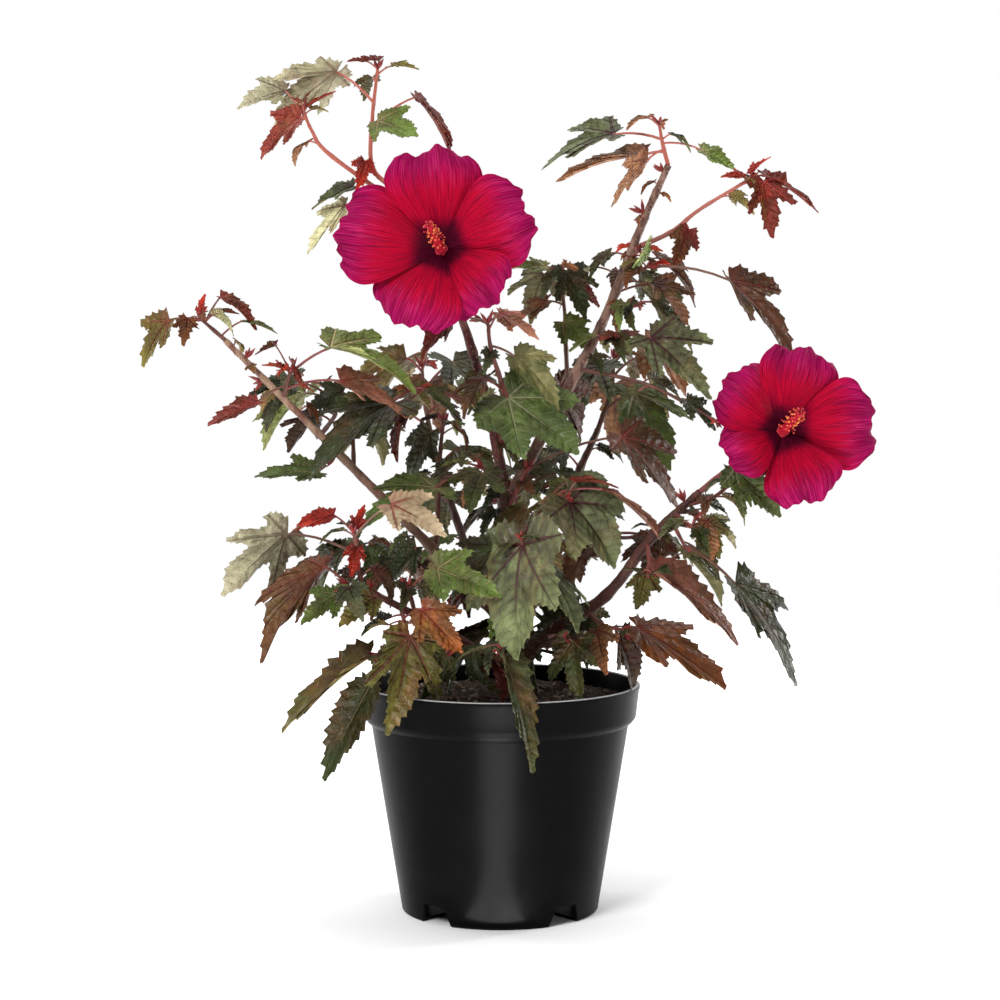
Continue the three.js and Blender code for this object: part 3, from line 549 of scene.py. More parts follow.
shoot("twigs_under_bloom", ["bough_right_low", 0.88], [[140, -54, 285], [149, -57, 293]], [1.6, 1.4], [
    leaf(1, [70, 12], [-42, 46], -4, 65, "bright_green", FIVE_LOBED),
])

shoot("twigs_right_low_spur", ["bough_right_low", 0.82], [[124, -62, 266], [127, -66, 272]], [1.6, 1.2], [
    leaf(0.95, [0, 8], [-80, 27], -12, 50, "brown"),
    leaf(0.95, [-10, 9], [-75, 26], -10, 70, "olive"),
])

shoot("leaf_low_long_stalk", ["bough_right_low", 0.78], [[121, -52, 253]], [1.5, 1.3], [
    leaf(1, [-37, 42], [-45, 78], -10, 17, "dark_green"),
])

shoot("twigs_right_skirt", ["bough_right_low", 0.62], [[98, -58, 238]], [1.7, 1.4], [
    leaf(1, [-50, 4], [-23, 73], -4, 17, "pinkish", NARROW),
    leaf(0.75, [-110, 6], [-100, 28], -20, 60, "olive"),
])

shoot("twigs_right_middle", ["trunk", 0.62], [[32, -30, 282], [44, -40, 284]], [2, 1.3], [
    leaf(1, [-60, 4], [-44, 54], -9, 60, "grey_green", BROAD),
    leaf(1, [60, 12], [8, 28], 4, 10, "maroon"),
    leaf(0.7, [5, 34], [-32, 48], -12, 15, "pinkish", NARROW),
], more=3, size=40)

shoot("twigs_rim_right", ["bough_right_low", 0.27], [[68, -48, 200], [80, -58, 198]], [1.9, 1.3], [
    leaf(1, [10, 10], [-30, 71], -2, 20, "orange"),
    leaf(0.8, [-60, 5], [-62, 44], -16, 50, "dark_brown"),
    leaf(0.55, [200, 8], [-84, 34], -22, 60, "brown"),
])

shoot("twigs_rim_front", ["trunk", 0.2], [[28, -42, 190], [42, -64, 194]], [1.9, 1.3], [
    leaf(1, [-20, 6], [-86, 40], -12, 85, "dark_green", FIVE_LOBED),
    leaf(0.7, [190, 14], [-100, 34], -22, 70, "dark_green"),
], more=2, size=38)

shoot("twigs_hanging_front", ["trunk", 0.13], [[4, -50, 188], [0, -92, 190]], [1.9, 1.4], [
    leaf(1, [-60, 6], [-68, 76], -13, 24, "dark_green", SLENDER),
])

# The shoots at the front and low on the left

shoot("twigs_front_centre", ["trunk", 0.36], [[12, -46, 244], [14, -80, 260]], [2.2, 1.5], [
    leaf(1, [-80, 4], [-102, 74], -20, 80, "grey_green", BROAD),
    leaf(0.6, [170, 14], [208, 46], 8, 35, "dark_green"),
], more=3, size=46)

shoot("twigs_front_low", ["bough_left_low", 0.22], [[-22, -48, 184], [-30, -64, 186]], [1.8, 1.3], [
    leaf(1, [200, 6], [-112, 34], -12, 80, "dark_green"),
    leaf(0.8, [-20, 8], [-62, 34], -22, 80, "dark_green"),
], more=3, size=38)

shoot("twigs_rim_left", ["bough_left_low", 0.72], [[-62, -78, 206]], [1.8, 1.5], [
    leaf(1, [-70, 10], [-98, 66], -13, 80, "olive", FIVE_LOBED),
    leaf(0.8, [30, 14], [-48, 40], -10, 50, "orange"),
])

shoot("twigs_rim_left_low", ["bough_left_low", 0.5], [[-70, -48, 186], [-80, -58, 182]], [1.8, 1.3], [
    leaf(1, [200, 6], [210, 77], -2, 17, "olive", NARROW),
    leaf(1, [-102, 20], [239, 70], -14, 30, "dark_green", SLENDER),
])

shoot("twigs_left_low_tip", ["bough_left_low", 1], [[-92, -66, 240], [-95, -66, 262]], [2, 1.3], [
    leaf(1, [138, 18], [191, 31], 6, 20, "red", NARROW),
    leaf(1, [60, 4], [75, 16], 0, 40, "red"),
    leaf(0.9, [-80, 4], [-95, 20], -25, 50, "red"),
    leaf(0.95, [42, 38], [-22, 42], -28, 25, "beige"),
    leaf(0.7, [163, 47], [219, 58], -2, -64, "pale", FIVE_LOBED),
])

shoot("twigs_left_low_side", ["bough_left_low", 0.9], [[-98, -74, 228]], [1.6, 1.3], [
    leaf(1, [140, 20], [222, 74], 2, -35, "dark_brown", FIVE_LOBED),
    leaf(0.8, [200, 12], [212, 30], -16, 50, "green"),
    leaf(0.7, [-20, 14], [215, 30], -30, 50, "olive"),
])

shoot("twigs_left_low_inner", ["bough_left_low", 0.62], [[-60, -58, 226]], [1.7, 1.4], [
    leaf(1, [79, 27], [228, 32], 4, 55, "dark_green"),
    leaf(0.9, [40, 30], [-18, 46], -18, 45, "green"),
])

# The shoots high on the left

shoot("twigs_left_upright", ["bough_left_high", 0.28],
      [[-42, 12, 275], [-41, 22, 308], [-39, 22, 330]], [2.4, 1.4], [
    leaf(0.94, [195, 8], [-122, 42], -8, 50, "dark_green"),
    leaf(0.5, [10, 14], [-20, 30], -6, -40, "beige"),
], more=3, size=44)

shoot("twigs_left_high_middle", ["bough_left_high", 0.79], [[-139, -32, 366]], [1.7, 1.3], [
    leaf(1, [70, 7], [-70, 24], -12, 80, "maroon", FIVE_LOBED),
    leaf(0.5, [209, 22], [202, 38], -6, 25, "maroon", NARROW),
    leaf(1, [118, 20], [190, 15], 6, 20, "maroon"),
    leaf(0.9, [33, 33], [-9, 64], 4, 15, "green", FIVE_LOBED),
    leaf(0.35, [9, 38], [-18, 50], -10, 14, "pinkish"),
])

shoot("twigs_left_high_inner", ["bough_left_high", 0.55], [[-99, -4, 322]], [1.8, 1.5], [
    leaf(1, [102, 31], [200, 29], -12, 60, "dark_green"),
    leaf(0.9, [223, 32], [175, 43], -16, 35, "green"),
])

shoot("twigs_left_far", ["bough_left_high", 1], [[-197, -25, 400]], [1.8, 1.2], [
    leaf(1, [178, 22], [228, 38], -2, 50, "olive"),
    leaf(1, [170, 12], [-95, 20], -16, 40, "orange"),
    leaf(1, [100, 4], [95, 14], 0, 30, "red"),
    leaf(0.9, [59, 20], [-29, 32], 4, 15, "maroon", NARROW),
    leaf(0.2, [36, 18], [-11, 24], 8, 10, "green", NARROW),
])

shoot(
    "twigs_left_high_back", ["bough_left_high", 0.66], [[-112, 22, 338], [-118, 42, 350]], [1.9, 1.2], [],
    more=4, size=48, middle=[-116, 34, 336], reach=84,
)

# The shoots behind, which fill the crown out all round

shoot(
    "twigs_back_left_tip", ["bough_back_left", 1], [[-54, 112, 340], [-56, 118, 366]], [2.2, 1.2], [],
    more=6, size=56, middle=[-54, 112, 338], reach=92,
)
shoot(
    "twigs_back_left_low", ["bough_back_left", 0.5], [[-70, 76, 232], [-98, 88, 240]], [2, 1.2], [],
    more=5, size=56, middle=[-84, 82, 226], reach=92,
)
shoot(
    "twigs_back_right_tip", ["bough_back_right", 1], [[80, 112, 350], [82, 116, 372]], [2.2, 1.2], [],
    more=7, size=52, middle=[78, 112, 346], reach=88,
)
shoot(
    "twigs_back_right_low", ["bough_back_right", 0.52], [[84, 66, 248], [112, 74, 254]], [2, 1.2], [],
    more=6, size=56, middle=[92, 74, 240], reach=92,
)
shoot(
    "twigs_back_middle", ["bough_back_right", 0.3], [[14, 84, 262], [10, 108, 282]], [2, 1.2], [],
    more=5, size=54, middle=[12, 98, 264], reach=88,
)

# The passes of growth: the twigs, the listed leaves, the leaves between them, then the finer ones

TONES_BETWEEN = (
    "dark_green", "grey_green", "dark_brown", "olive", "dark_green", "green", "brown", "dark_green",
)
YOUNG_TONES = ("red", "maroon", "maroon", "orange", "brown", "olive")
LOW_TONES = ("dark_green", "dark_green", "dark_brown", "dark_green", "maroon")


def start_shoots():
    for name, limb in limbs.items():
        crowd.note_line(name, limb.line, limb.radius)
    for made in shoots:
        crowd.note_line(made.name, made.line, lambda t, made=made: made.radius(t) - LIMB_CLEAR / 2)
        if made.bloom:
            note_bloom(made)
    crowd.settle()


def bloom_frame(bloom):
    eye = np.array(bloom["eye"], float)
    face = unit(np.array(bloom["face"]))
    right = unit(np.cross(UP, face))
    return eye, face, right, np.cross(face, right)


def note_bloom(made):
    eye, face, right, top = bloom_frame(made.bloom)
    for angle, length, _ in made.bloom["petals"]:
        for turn in (-24, 0, 24):
            for share in (0.3, 0.62, 0.95):
                way = (angle + turn) * DEG
                spot = eye + (right * math.cos(way) + top * math.sin(way)) * length * share
                crowd.note(made.name, spot, BLOOM_CLEAR)


def grow_placed(made):
    for plan in made.plans:
        curl = between(made.random, 16, 38)
        fold = between(made.random, 8, 24)
        choices = []
        for more in LEANS:
            lean = plan["lean"] + more
            midrib = heading(plan["blade"][0], lean)
            upper = upper_side(midrib, plan["face"], made.outward)
            root = made.line.at(plan["at"])
            way = heading(plan["stalk"][0], lean)
            stalk, length, form = plan["stalk"][1], plan["blade"][1], plan["form"]
            choices.append(Leaf(root, way, stalk, midrib, upper, length, form, curl, fold, plan["tone"]))
        grown = next((choice for choice in choices if crowd.has_room(choice, made.name)), choices[0])
        made.leaves.append(grown)
        crowd.leaves.append(grown)


def grow_between(made):
    random = made.random
    turn = next(random) * 360
    for k in range(made.more):
        at = 0.18 + 0.82 * (k + 0.5) / made.more
        length = made.size * between(random, 0.75, 1.25)
        stalk = length * between(random, 0.35, 0.7)
        bend = [between(random, *span) for span in ((0.25, 0.75), (-12, 12), (24, 50), (8, 24))]
        turn += LEAF_TURN
        tone = TONES_BETWEEN[int(turn) % len(TONES_BETWEEN)]
        try_turns(made, made.name, made.line, at, turn, length, stalk, bend, tone)


def try_turns(made, owner, line, at, turn, length, stalk, bend, tone, ease=1.0):
    """Grow a leaf on the first turn round its twig that leaves it clear of the rest, if there is one."""
    drop, tilt, curl, fold = bend
    for attempt in range(TRIES):
        spin = (turn + attempt * TRY_TURN) * DEG
        level = np.array((math.cos(spin), math.sin(spin), 0))
        way = unit(line.way(at) * math.cos(STALK_SPREAD * DEG) + level * math.sin(STALK_SPREAD * DEG))
        midrib = unit(level - drop * UP)
        upper = turned(upper_side(midrib, 0, level), midrib, tilt)
        form = FIVE_LOBED if length > LONG_LEAF else THREE_LOBED
        grown = Leaf(line.at(at), way, stalk, midrib, upper, length, form, curl, fold, tone)
        inside = np.all(np.linalg.norm(grown.feelers() - made.middle, axis=1) < made.reach)
        if inside and crowd.has_room(grown, owner, ease):
            made.leaves.append(grown)
            crowd.leaves.append(grown)
            return


FINE_EASE = 0.55
YOUNG_ABOVE = 330
YOUNG_AT_TIP = 2
TUFT_REACH = 3


class Tuft:
    """Smaller leaves that spring straight from a limb."""

    def __init__(self, limb, count, size, first, last, tones):
        self.limb, self.count, self.size = limb, count, size
        self.first, self.last, self.tones = first, last, tones
        self.leaves = []
        self.reach = TUFT_REACH * size


tufts = [
    Tuft("trunk", 12, 40, 0.08, 0.3, LOW_TONES),
    Tuft("trunk", 9, 34, 0.25, 1, TONES_BETWEEN),
    Tuft("bough_left_leader", 4, 26, 0.05, 0.45, TONES_BETWEEN),
    Tuft("bough_left_leader", 5, 17, 0.62, 1, YOUNG_TONES),
    Tuft("bough_right_leader", 4, 26, 0.05, 0.5, TONES_BETWEEN),
    Tuft("bough_right_leader", 4, 14, 0.6, 1, YOUNG_TONES),
    Tuft("bough_right_low", 2, 22, 0.12, 0.9, TONES_BETWEEN),
    Tuft("bough_left_high", 4, 26, 0.12, 0.45, TONES_BETWEEN),
    Tuft("bough_left_high", 4, 14, 0.7, 1, YOUNG_TONES),
    Tuft("bough_left_low", 1, 22, 0.2, 0.8, TONES_BETWEEN),
    Tuft("bough_back_left", 7, 36, 0.2, 0.95, TONES_BETWEEN),
    Tuft("bough_back_right", 7, 36, 0.2, 0.95, TONES_BETWEEN),
    Tuft("bough_back_right", 6, 36, 0.02, 0.32, LOW_TONES),
    Tuft("bough_back_left", 5, 36, 0.02, 0.32, LOW_TONES),
    Tuft("bough_right_low", 4, 30, 0.04, 0.3, LOW_TONES),
    Tuft("bough_left_low", 3, 30, 0.04, 0.35, LOW_TONES),
]


def grow_tuft(tuft, index):
    limb = limbs[tuft.limb]
    random = seeded(9001 + 613 * index)
    turn = next(random) * 360
    for k in range(tuft.count):
        at = tuft.first + (tuft.last - tuft.first) * (k + next(random)) / tuft.count
        length = tuft.size * between(random, 0.6, 1.3)
        stalk = length * between(random, 0.3, 0.8)
        drop = between(random, 0.1, 0.8)
        turn += LEAF_TURN
        tuft.middle = limb.line.at(at)
        tone = tuft.tones[int(next(random) * len(tuft.tones))]
        bend = [drop] + [between(random, *span) for span in ((-30, 30), (30, 70), (8, 30))]
        try_turns(tuft, tuft.limb, limb.line, at, turn, length, stalk, bend, tone, FINE_EASE)


def grow_fine(made, index):
    """Young leaves at the twig's tip and smaller ones down it."""
    random = seeded(5003 + 211 * index)
    turn = next(random) * 360
    count = 3 + int(3 * next(random))
    for k in range(count):
        tip = k < YOUNG_AT_TIP
        at = 1 - 0.04 * k if tip else between(random, 0.25, 0.95)
        length = made.size * (between(random, 0.2, 0.4) if tip else between(random, 0.38, 0.58))
        stalk = length * between(random, 0.3, 0.7)
        drop = between(random, -0.5, 0) if tip else between(random, 0.1, 0.7)
        turn += LEAF_TURN
        tones = YOUNG_TONES if tip and made.line.at(1)[2] > YOUNG_ABOVE else TONES_BETWEEN
        tone = tones[int(next(random) * len(tones))]
        bend = [drop] + [between(random, *span) for span in ((-30, 30), (20, 70), (10, 40))]
        try_turns(made, made.name, made.line, at, turn, length, stalk, bend, tone, FINE_EASE)


start_shoots()
for made in shoots:
    grow_placed(made)
for made in shoots:
    grow_between(made)
for index, made in enumerate(shoots):
    if not made.bloom:
        grow_fine(made, index)
for index, tuft in enumerate(tufts):
    grow_tuft(tuft, index)

# Meshes made from arrays: parts of one kind are joined into one piece


class Part:
    """Places and triangles of one small closed form, with numbers for its finish."""

    def __init__(self, places, faces, paints=0, chart=None, shade=0.5):
        self.places = np.asarray(places, float)
        self.faces = np.asarray(faces, int)
        self.paints = np.broadcast_to(paints, len(self.faces))
        self.chart = np.zeros((len(self.places), 2)) if chart is None else chart
        self.shade = np.broadcast_to(shade, len(self.places))
        a, b, c = (self.places[self.faces[:, k]] for k in range(3))
        if np.einsum("ij,ij->i", a, np.cross(b, c)).sum() < 0:
            self.faces = self.faces[:, ::-1]


def joined(name, parts, paints, smooth=40):
    """One piece from many parts, with its own chart and a shade for each part."""
    starts = np.cumsum([0] + [len(part.places) for part in parts])
    places = np.vstack([part.places for part in parts]) * MM
    faces = np.vstack([part.faces + start for part, start in zip(parts, starts)])
    mesh = bpy.data.meshes.new(name)
    mesh.from_pydata(places.tolist(), [], faces.tolist())
    paint_of_face = np.concatenate([part.paints for part in parts])
    mesh.polygons.foreach_set("material_index", paint_of_face.astype(np.int32))
    chart = np.vstack([part.chart for part in parts])[faces.ravel()]
    mesh.uv_layers.new(name="chart").data.foreach_set("uv", chart.ravel().astype(np.float32))
    shade = mesh.attributes.new("shade", "FLOAT", "POINT")
    shade.data.foreach_set("value", np.concatenate([part.shade for part in parts]).astype(np.float32))
    mesh.shade_smooth()
    mesh.set_sharp_from_angle(angle=smooth * DEG)
    piece = bpy.data.objects.new(name, mesh)
    bpy.context.scene.collection.objects.link(piece)
    for paint in paints:
        mesh.materials.append(paint.material)
    return piece


def tube(centres, radii, sides, shade=0.5):
    """A round stem along a row of places, closed at both ends."""
    centres, radii = np.asarray(centres, float), np.asarray(radii, float)
    ways = np.gradient(centres, axis=0)
    side = np.cross(ways[0], (0.3, 0.9, 0.2))
    rings, count = [], len(centres)
    angles = np.arange(sides) * 2 * math.pi / sides
    for centre, radius, way in zip(centres, radii, ways):
        way = unit(way)
        side = unit(side - way * (side @ way))
        across = np.cross(way, side)
        rings.append(centre + radius * (np.cos(angles)[:, None] * side + np.sin(angles)[:, None] * across))
    places = np.vstack([*rings, centres[:1], centres[-1:]])
    faces = []
    for k in range(count - 1):
        for j in range(sides):
            a, b = k * sides + j, k * sides + (j + 1) % sides
            faces += [(a, b, b + sides), (a, b + sides, a + sides)]
    first, last = count * sides, count * sides + 1
    for j in range(sides):
        faces.append((first, (j + 1) % sides, j))
        far = (count - 1) * sides
        faces.append((last, far + j, far + (j + 1) % sides))
    return Part(places, faces, shade=shade)


def thin_sheet(top, under, faces, loop, chart, shade, paint_under):
    """A closed part: an upper face, the same face lower down and the rim between them."""
    half = len(top)
    rim = []
    for a, b in zip(loop, loop[1:] + loop[:1]):
        rim += [(b, a, a + half), (b, a + half, b + half)]
    paints = np.zeros(2 * len(faces) + len(rim))
    paints[len(faces) : 2 * len(faces)] = paint_under
    everything = np.vstack([faces, faces[:, ::-1] + half, rim])
    return Part(np.vstack([top, under]), everything, paints, np.vstack([chart, chart]), shade)


# Blades: each is cut to its lobes with forward-pointing teeth, and is a thin closed sheet

LOBES = {
    FIVE_LOBED: (
        (0, 1), (4, 0.94), (9, 0.83), (15, 0.66), (21, 0.48), (27, 0.38), (32, 0.46), (37, 0.63), (41, 0.77),
        (47, 0.66), (54, 0.46), (62, 0.32), (70, 0.31), (79, 0.38), (87, 0.42), (99, 0.33), (116, 0.24),
        (136, 0.17), (152, 0.11),
    ),
    BROAD: (
        (0, 1), (5, 0.96), (10, 0.89), (16, 0.79), (22, 0.69), (28, 0.62), (34, 0.67), (39, 0.78), (44, 0.87),
        (50, 0.79), (57, 0.67), (66, 0.56), (73, 0.55), (82, 0.59), (91, 0.61), (104, 0.52), (120, 0.4),
        (138, 0.27), (152, 0.14),
    ),
    THREE_LOBED: (
        (0, 1), (4, 0.95), (9, 0.84), (15, 0.7), (22, 0.53), (29, 0.43), (35, 0.47), (40, 0.57), (45, 0.63),
        (52, 0.51), (60, 0.38), (72, 0.29), (86, 0.26), (104, 0.22), (130, 0.16), (152, 0.1),
    ),
    NARROW: (
        (0, 1), (4, 0.93), (8, 0.82), (13, 0.69), (19, 0.56), (26, 0.46), (36, 0.38), (50, 0.28), (70, 0.2),
        (100, 0.15), (130, 0.12), (152, 0.1),
    ),
    SLENDER: (
        (0, 1), (4, 0.9), (8, 0.77), (12, 0.64), (18, 0.5), (24, 0.4), (30, 0.33), (42, 0.26), (60, 0.2),
        (90, 0.14), (125, 0.11), (152, 0.09),
    ),
}
RIBS = {FIVE_LOBED: (0, 41, 87), BROAD: (0, 44, 91), THREE_LOBED: (0, 45), NARROW: (0,), SLENDER: (0,)}
BLADE_THICKNESS = 0.45
# Painted shade: blades low in the crown are painted darker; from this height and over this reach upwards they
# are painted brighter.
SHADED_BELOW = 180
SHADE_REACH = 260
# For blades longer than so much: the rings of faces and the pitch of the teeth, as shares of the length
GRADES = ((38, (0.2, 0.42, 0.64, 0.84, 1), 0.1), (20, (0.28, 0.58, 0.84, 1), 0.14), (0, (0.45, 1), 0.2))
# Each tooth rises gently, ends in a point and falls back: where, as a share of its pitch, and how far out
TOOTH_AT = (0, 0.22, 0.45)
TOOTH_OUT = (-0.4, 0.6, 0.05)
LOBE_SWAY = 0.1
SMALL_STEP = 1e-3
# The signs that put the two halves of an outline's angles, reaches and run together
HALF_SIGNS = ((1, -1), (1, 1), (1, 1), (-1, 1))
TOOTH_DEPTH = {FIVE_LOBED: 0.4, BROAD: 0.36, THREE_LOBED: 0.42, NARROW: 0.48, SLENDER: 0.42}


def half_outline(form, pitch, random):
    """One half of a blade's outline with teeth, as angles and reaches, and the reach without teeth."""
    angles, reaches = np.array(LOBES[form], float).T
    sway = 1 + LOBE_SWAY * (2 * np.array([next(random) for _ in range(3)]) - 1)
    lobes = np.interp(angles, (0, 20, 45, 90), (1, 1, sway[0], sway[1]))
    angles = angles * np.interp(angles, (0, 45, 152), (1, sway[2] ** 0.6, 1))
    fine = np.linspace(0, angles[-1], 500)
    reach = np.interp(fine, angles, reaches * lobes)
    spots = np.column_stack([reach * np.cos(fine * DEG), reach * np.sin(fine * DEG)])
    run = np.append(0, np.cumsum(np.linalg.norm(np.diff(spots, axis=0), axis=1)))
    teeth = max(3, round(run[-1] / pitch))
    jitter = 0.5 * np.array([0] + [next(random) for _ in range(teeth - 1)])
    starts = (np.arange(teeth) + jitter) / (teeth + 0.25)
    shares = np.sort(np.concatenate([starts + part / teeth for part in TOOTH_AT]))
    out = np.tile(TOOTH_OUT, teeth)
    out[0] = TOOTH_OUT[1]
    at = shares * run[-1]
    x, y = np.interp(at, run, spots[:, 0]), np.interp(at, run, spots[:, 1])
    ahead, behind = at + SMALL_STEP, at - SMALL_STEP
    dx, dy = (np.interp(ahead, run, spots[:, k]) - np.interp(behind, run, spots[:, k]) for k in (0, 1))
    size = np.hypot(dx, dy) + 1e-9
    rough = 0.45 + 1.1 * np.array([next(random) for _ in range(len(at))])
    depth = TOOTH_DEPTH[form] * run[-1] / teeth * out * rough
    smooth = np.hypot(x, y)
    x, y = x + depth * dy / size, y - depth * dx / size
    return np.degrees(np.arctan2(y, x)), np.hypot(x, y), smooth, at


def blade(leaf, random):
    """A leaf's blade: rings of faces from the foot to the toothed rim, ruffled, and a thin sheet thick."""
    length = leaf.length
    shares, pitch = next((shares, pitch) for above, shares, pitch in GRADES if length > above)
    left = half_outline(leaf.form, pitch, random)
    right = half_outline(leaf.form, pitch, random)
    halves = zip(left, right, HALF_SIGNS)
    angle, toothed, smooth, run = (
        np.concatenate([near * one[::-1], far * other[1:]]) for one, other, (near, far) in halves
    )
    count = len(angle)
    rings = [share * smooth for share in shares[:-1]] + [toothed]
    reach = np.append(0, rings)
    angles = np.append(0, [angle] * len(shares))
    level = np.append(0, np.repeat(shares, count))
    runs = np.append(0, [run] * len(shares))
    off = np.min([np.abs(np.abs(angles) - rib) for rib in RIBS[leaf.form]], axis=0)
    nearest = np.abs(off) * DEG
    along, across = reach * np.cos(nearest), reach * np.abs(np.sin(nearest))
    phases = [next(random) * 2 * math.pi for _ in range(3)]
    ruffle = 0.026 * np.sin(7 * runs + phases[0]) + 0.014 * np.sin(17 * runs + phases[1])
    rise = length * (level**2 * ruffle + 0.16 * across - 0.05 * level**2 * np.sin(2.2 * runs + phases[2]))
    top = leaf.on_blade(reach * length, angles, rise)
    under = top - leaf.upper * BLADE_THICKNESS
    ring = [np.arange(count) + 1 + k * count for k in range(len(shares))]
    faces = [np.column_stack([np.zeros(count - 1, int), ring[0][:-1], ring[0][1:]])]
    for near, far in zip(ring, ring[1:]):
        faces.append(np.column_stack([near[:-1], far[:-1], far[1:]]))
        faces.append(np.column_stack([near[:-1], far[1:], near[1:]]))
    loop = [0, *(r[0] for r in ring[:-1]), *ring[-1], *(r[-1] for r in ring[-2::-1])]
    # The shade value is partly a random tone for each leaf and partly painted shade, lower for blades lower
    # down.
    height = min(1, max(0, (leaf.tip[2] - SHADED_BELOW) / SHADE_REACH))
    shade = 0.62 * next(random) + 0.38 * height
    return thin_sheet(top, under, np.vstack(faces), loop, np.column_stack([along, across]), shade, 1)


def stalk(leaf, random):
    """A leaf's stalk, bowed a little upwards."""
    shares = np.linspace(0, 1, 6)[:, None]
    bow, root, tip = leaf.bow, leaf.root, leaf.tip
    control = 2 * bow - (root + tip) / 2
    centres = (1 - shares) ** 2 * root + 2 * shares * (1 - shares) * control + shares**2 * tip
    thick = 0.55 + 0.009 * leaf.length
    return tube(centres, np.linspace(thick, thick * 0.72, 6), 5, next(random))

# Finishes of the plant

BRONZE = tint(104, 54, 32)
RUST = tint(132, 62, 34)
MOSS = tint(78, 84, 32)
TONES = {
    # blade, its patches, its tinge, ribs, underside
    "pale": (tint(204, 202, 158), tint(150, 138, 92), RUST, tint(130, 84, 70), tint(206, 198, 164)),
    "grey_green": (tint(94, 102, 66), tint(46, 40, 26), BRONZE, tint(60, 20, 32), tint(160, 152, 114)),
    "green": (tint(90, 112, 46), tint(60, 56, 26), BRONZE, tint(146, 134, 92), tint(150, 148, 98)),
    "bright_green": (tint(98, 116, 58), tint(56, 68, 32), BRONZE, tint(170, 172, 128), tint(146, 150, 96)),
    "dark_green": (tint(46, 58, 22), tint(42, 24, 14), BRONZE, tint(84, 74, 46), tint(106, 100, 64)),
    "olive": (tint(98, 94, 38), tint(66, 48, 22), RUST, tint(120, 62, 50), tint(142, 122, 78)),
    "beige": (tint(176, 160, 130), tint(140, 116, 86), RUST, tint(148, 72, 64), tint(196, 178, 146)),
    "brown": (tint(120, 72, 42), tint(62, 50, 24), MOSS, tint(90, 30, 30), tint(152, 108, 76)),
    "dark_brown": (tint(76, 40, 24), tint(42, 34, 16), MOSS, tint(104, 46, 40), tint(84, 58, 36)),
    "pinkish": (tint(160, 100, 78), tint(92, 64, 40), MOSS, tint(156, 62, 62), tint(186, 136, 110)),
    "maroon": (tint(104, 30, 22), tint(48, 30, 16), MOSS, tint(138, 50, 46), tint(132, 62, 50)),
    "red": (tint(176, 44, 22), tint(90, 22, 16), BRONZE, tint(104, 18, 22), tint(184, 80, 54)),
    "orange": (tint(124, 66, 28), tint(62, 44, 18), MOSS, tint(106, 36, 26), tint(150, 92, 50)),
}

# Along a blade, as shares of its length: the ribs' width at the foot, its taper, and the side ribs
RIB_WIDTH = 0.017
RIB_TAPER = 0.012
SIDE_RIBS = 8.5
SIDE_RIB_SLANT = 0.8
# How fine the patterns on a leaf are
TINGE_SCALE, PATCH_SCALE, WANDER_SCALE, BLOTCH_SCALE, FLECK_SCALE = 26, 48, 90, 150, 300
# A leaf's brightness in deep shade, its rise with the shade value, and the most it may be
SHADE_FLOOR, SHADE_RISE, SHADE_MOST = 0.46, 1.75, 1.6


def leaf_paint(name, blade_colour, patch_colour, tinge, rib_colour, rib_strength):
    """A leaf's surface: its colour in soft patches, with ribs and side ribs read from the blade's chart,
    painted light on the puckers between the side ribs, and a brightness from the leaf's shade value.
    """
    paint = Paint(name, 0.4, 0.22)
    along, across = paint.across_and_along("chart")
    shade = paint.attribute("shade")
    width = RIB_WIDTH - RIB_TAPER * along
    rib = 1 - paint.step(across / width, 0.5, 1.4)
    phase = (along - SIDE_RIB_SLANT * across) * SIDE_RIBS + 0.16 * paint.noise(WANDER_SCALE, 2)
    off = paint.maths("ABSOLUTE", paint.maths("FRACT", phase + 0.5) - 0.5)
    fading = 1 - paint.step(across, 0.08, 0.36)
    side_rib = (1 - paint.step(off, 0.02, 0.07)) * fading
    patch = paint.step(paint.noise(PATCH_SCALE, 3) + 0.3 * shade, 0.5, 0.8)
    blotch = paint.step(paint.noise(BLOTCH_SCALE, 4), 0.4, 0.62)
    fleck = paint.step(paint.noise(FLECK_SCALE, 2), 0.3, 0.7)
    pucker_and_painted_light = paint.maths("PINGPONG", phase, 0.5)
    off_rib = paint.step(across, 0.03, 0.17)
    colour = paint.mix(0.5 * off_rib, shaded(blade_colour, 1.25), shaded(blade_colour, 0.7))
    tinged = paint.step(paint.noise(TINGE_SCALE, 2) + 0.35 * across, 0.52, 0.66)
    colour = paint.mix(0.6 * tinged, colour, tinge)
    colour = paint.mix(0.9 * patch, colour, patch_colour)
    colour = paint.mix(0.6 * blotch, colour, shaded(patch_colour, 0.5))
    colour = paint.mix(0.16 * fleck, colour, shaded(blade_colour, 1.5))
    # Painted light: the puckers between the side ribs are painted lighter, as where they catch the light; the
    # same puckers also give the relief.
    colour = paint.mix(0.5 * pucker_and_painted_light * (1 - 0.5 * blotch), colour, shaded(blade_colour, 1.35))
    colour = paint.mix(0.4 * paint.step(along, 0.35, 1), colour, shaded(blade_colour, 1.5))
    colour = paint.mix(0.45 - 0.45 * paint.step(along, 0.0, 0.26), colour, shaded(rib_colour, 0.7))
    colour = paint.mix(0.5 * rib_strength * side_rib, colour, rib_colour)
    colour = paint.mix(rib_strength * rib, colour, rib_colour)
    # Each leaf's brightness from its shade value: a random tone, and painted shade for leaves lower down.
    bright = paint.maths("MINIMUM", SHADE_FLOOR + SHADE_RISE * shade * shade, SHADE_MOST)
    lit = paint.node("ShaderNodeCombineColor", None, {0: bright, 1: bright, 2: bright})
    paint.colour(paint.mix(1.0, colour, lit, "MULTIPLY"))
    paint.roughness(0.37 + 0.18 * blotch)
    paint.relief(0.8 * pucker_and_painted_light * fading - 0.8 * rib + 0.4 * blotch + 0.1 * fleck, 1.6)
    return paint


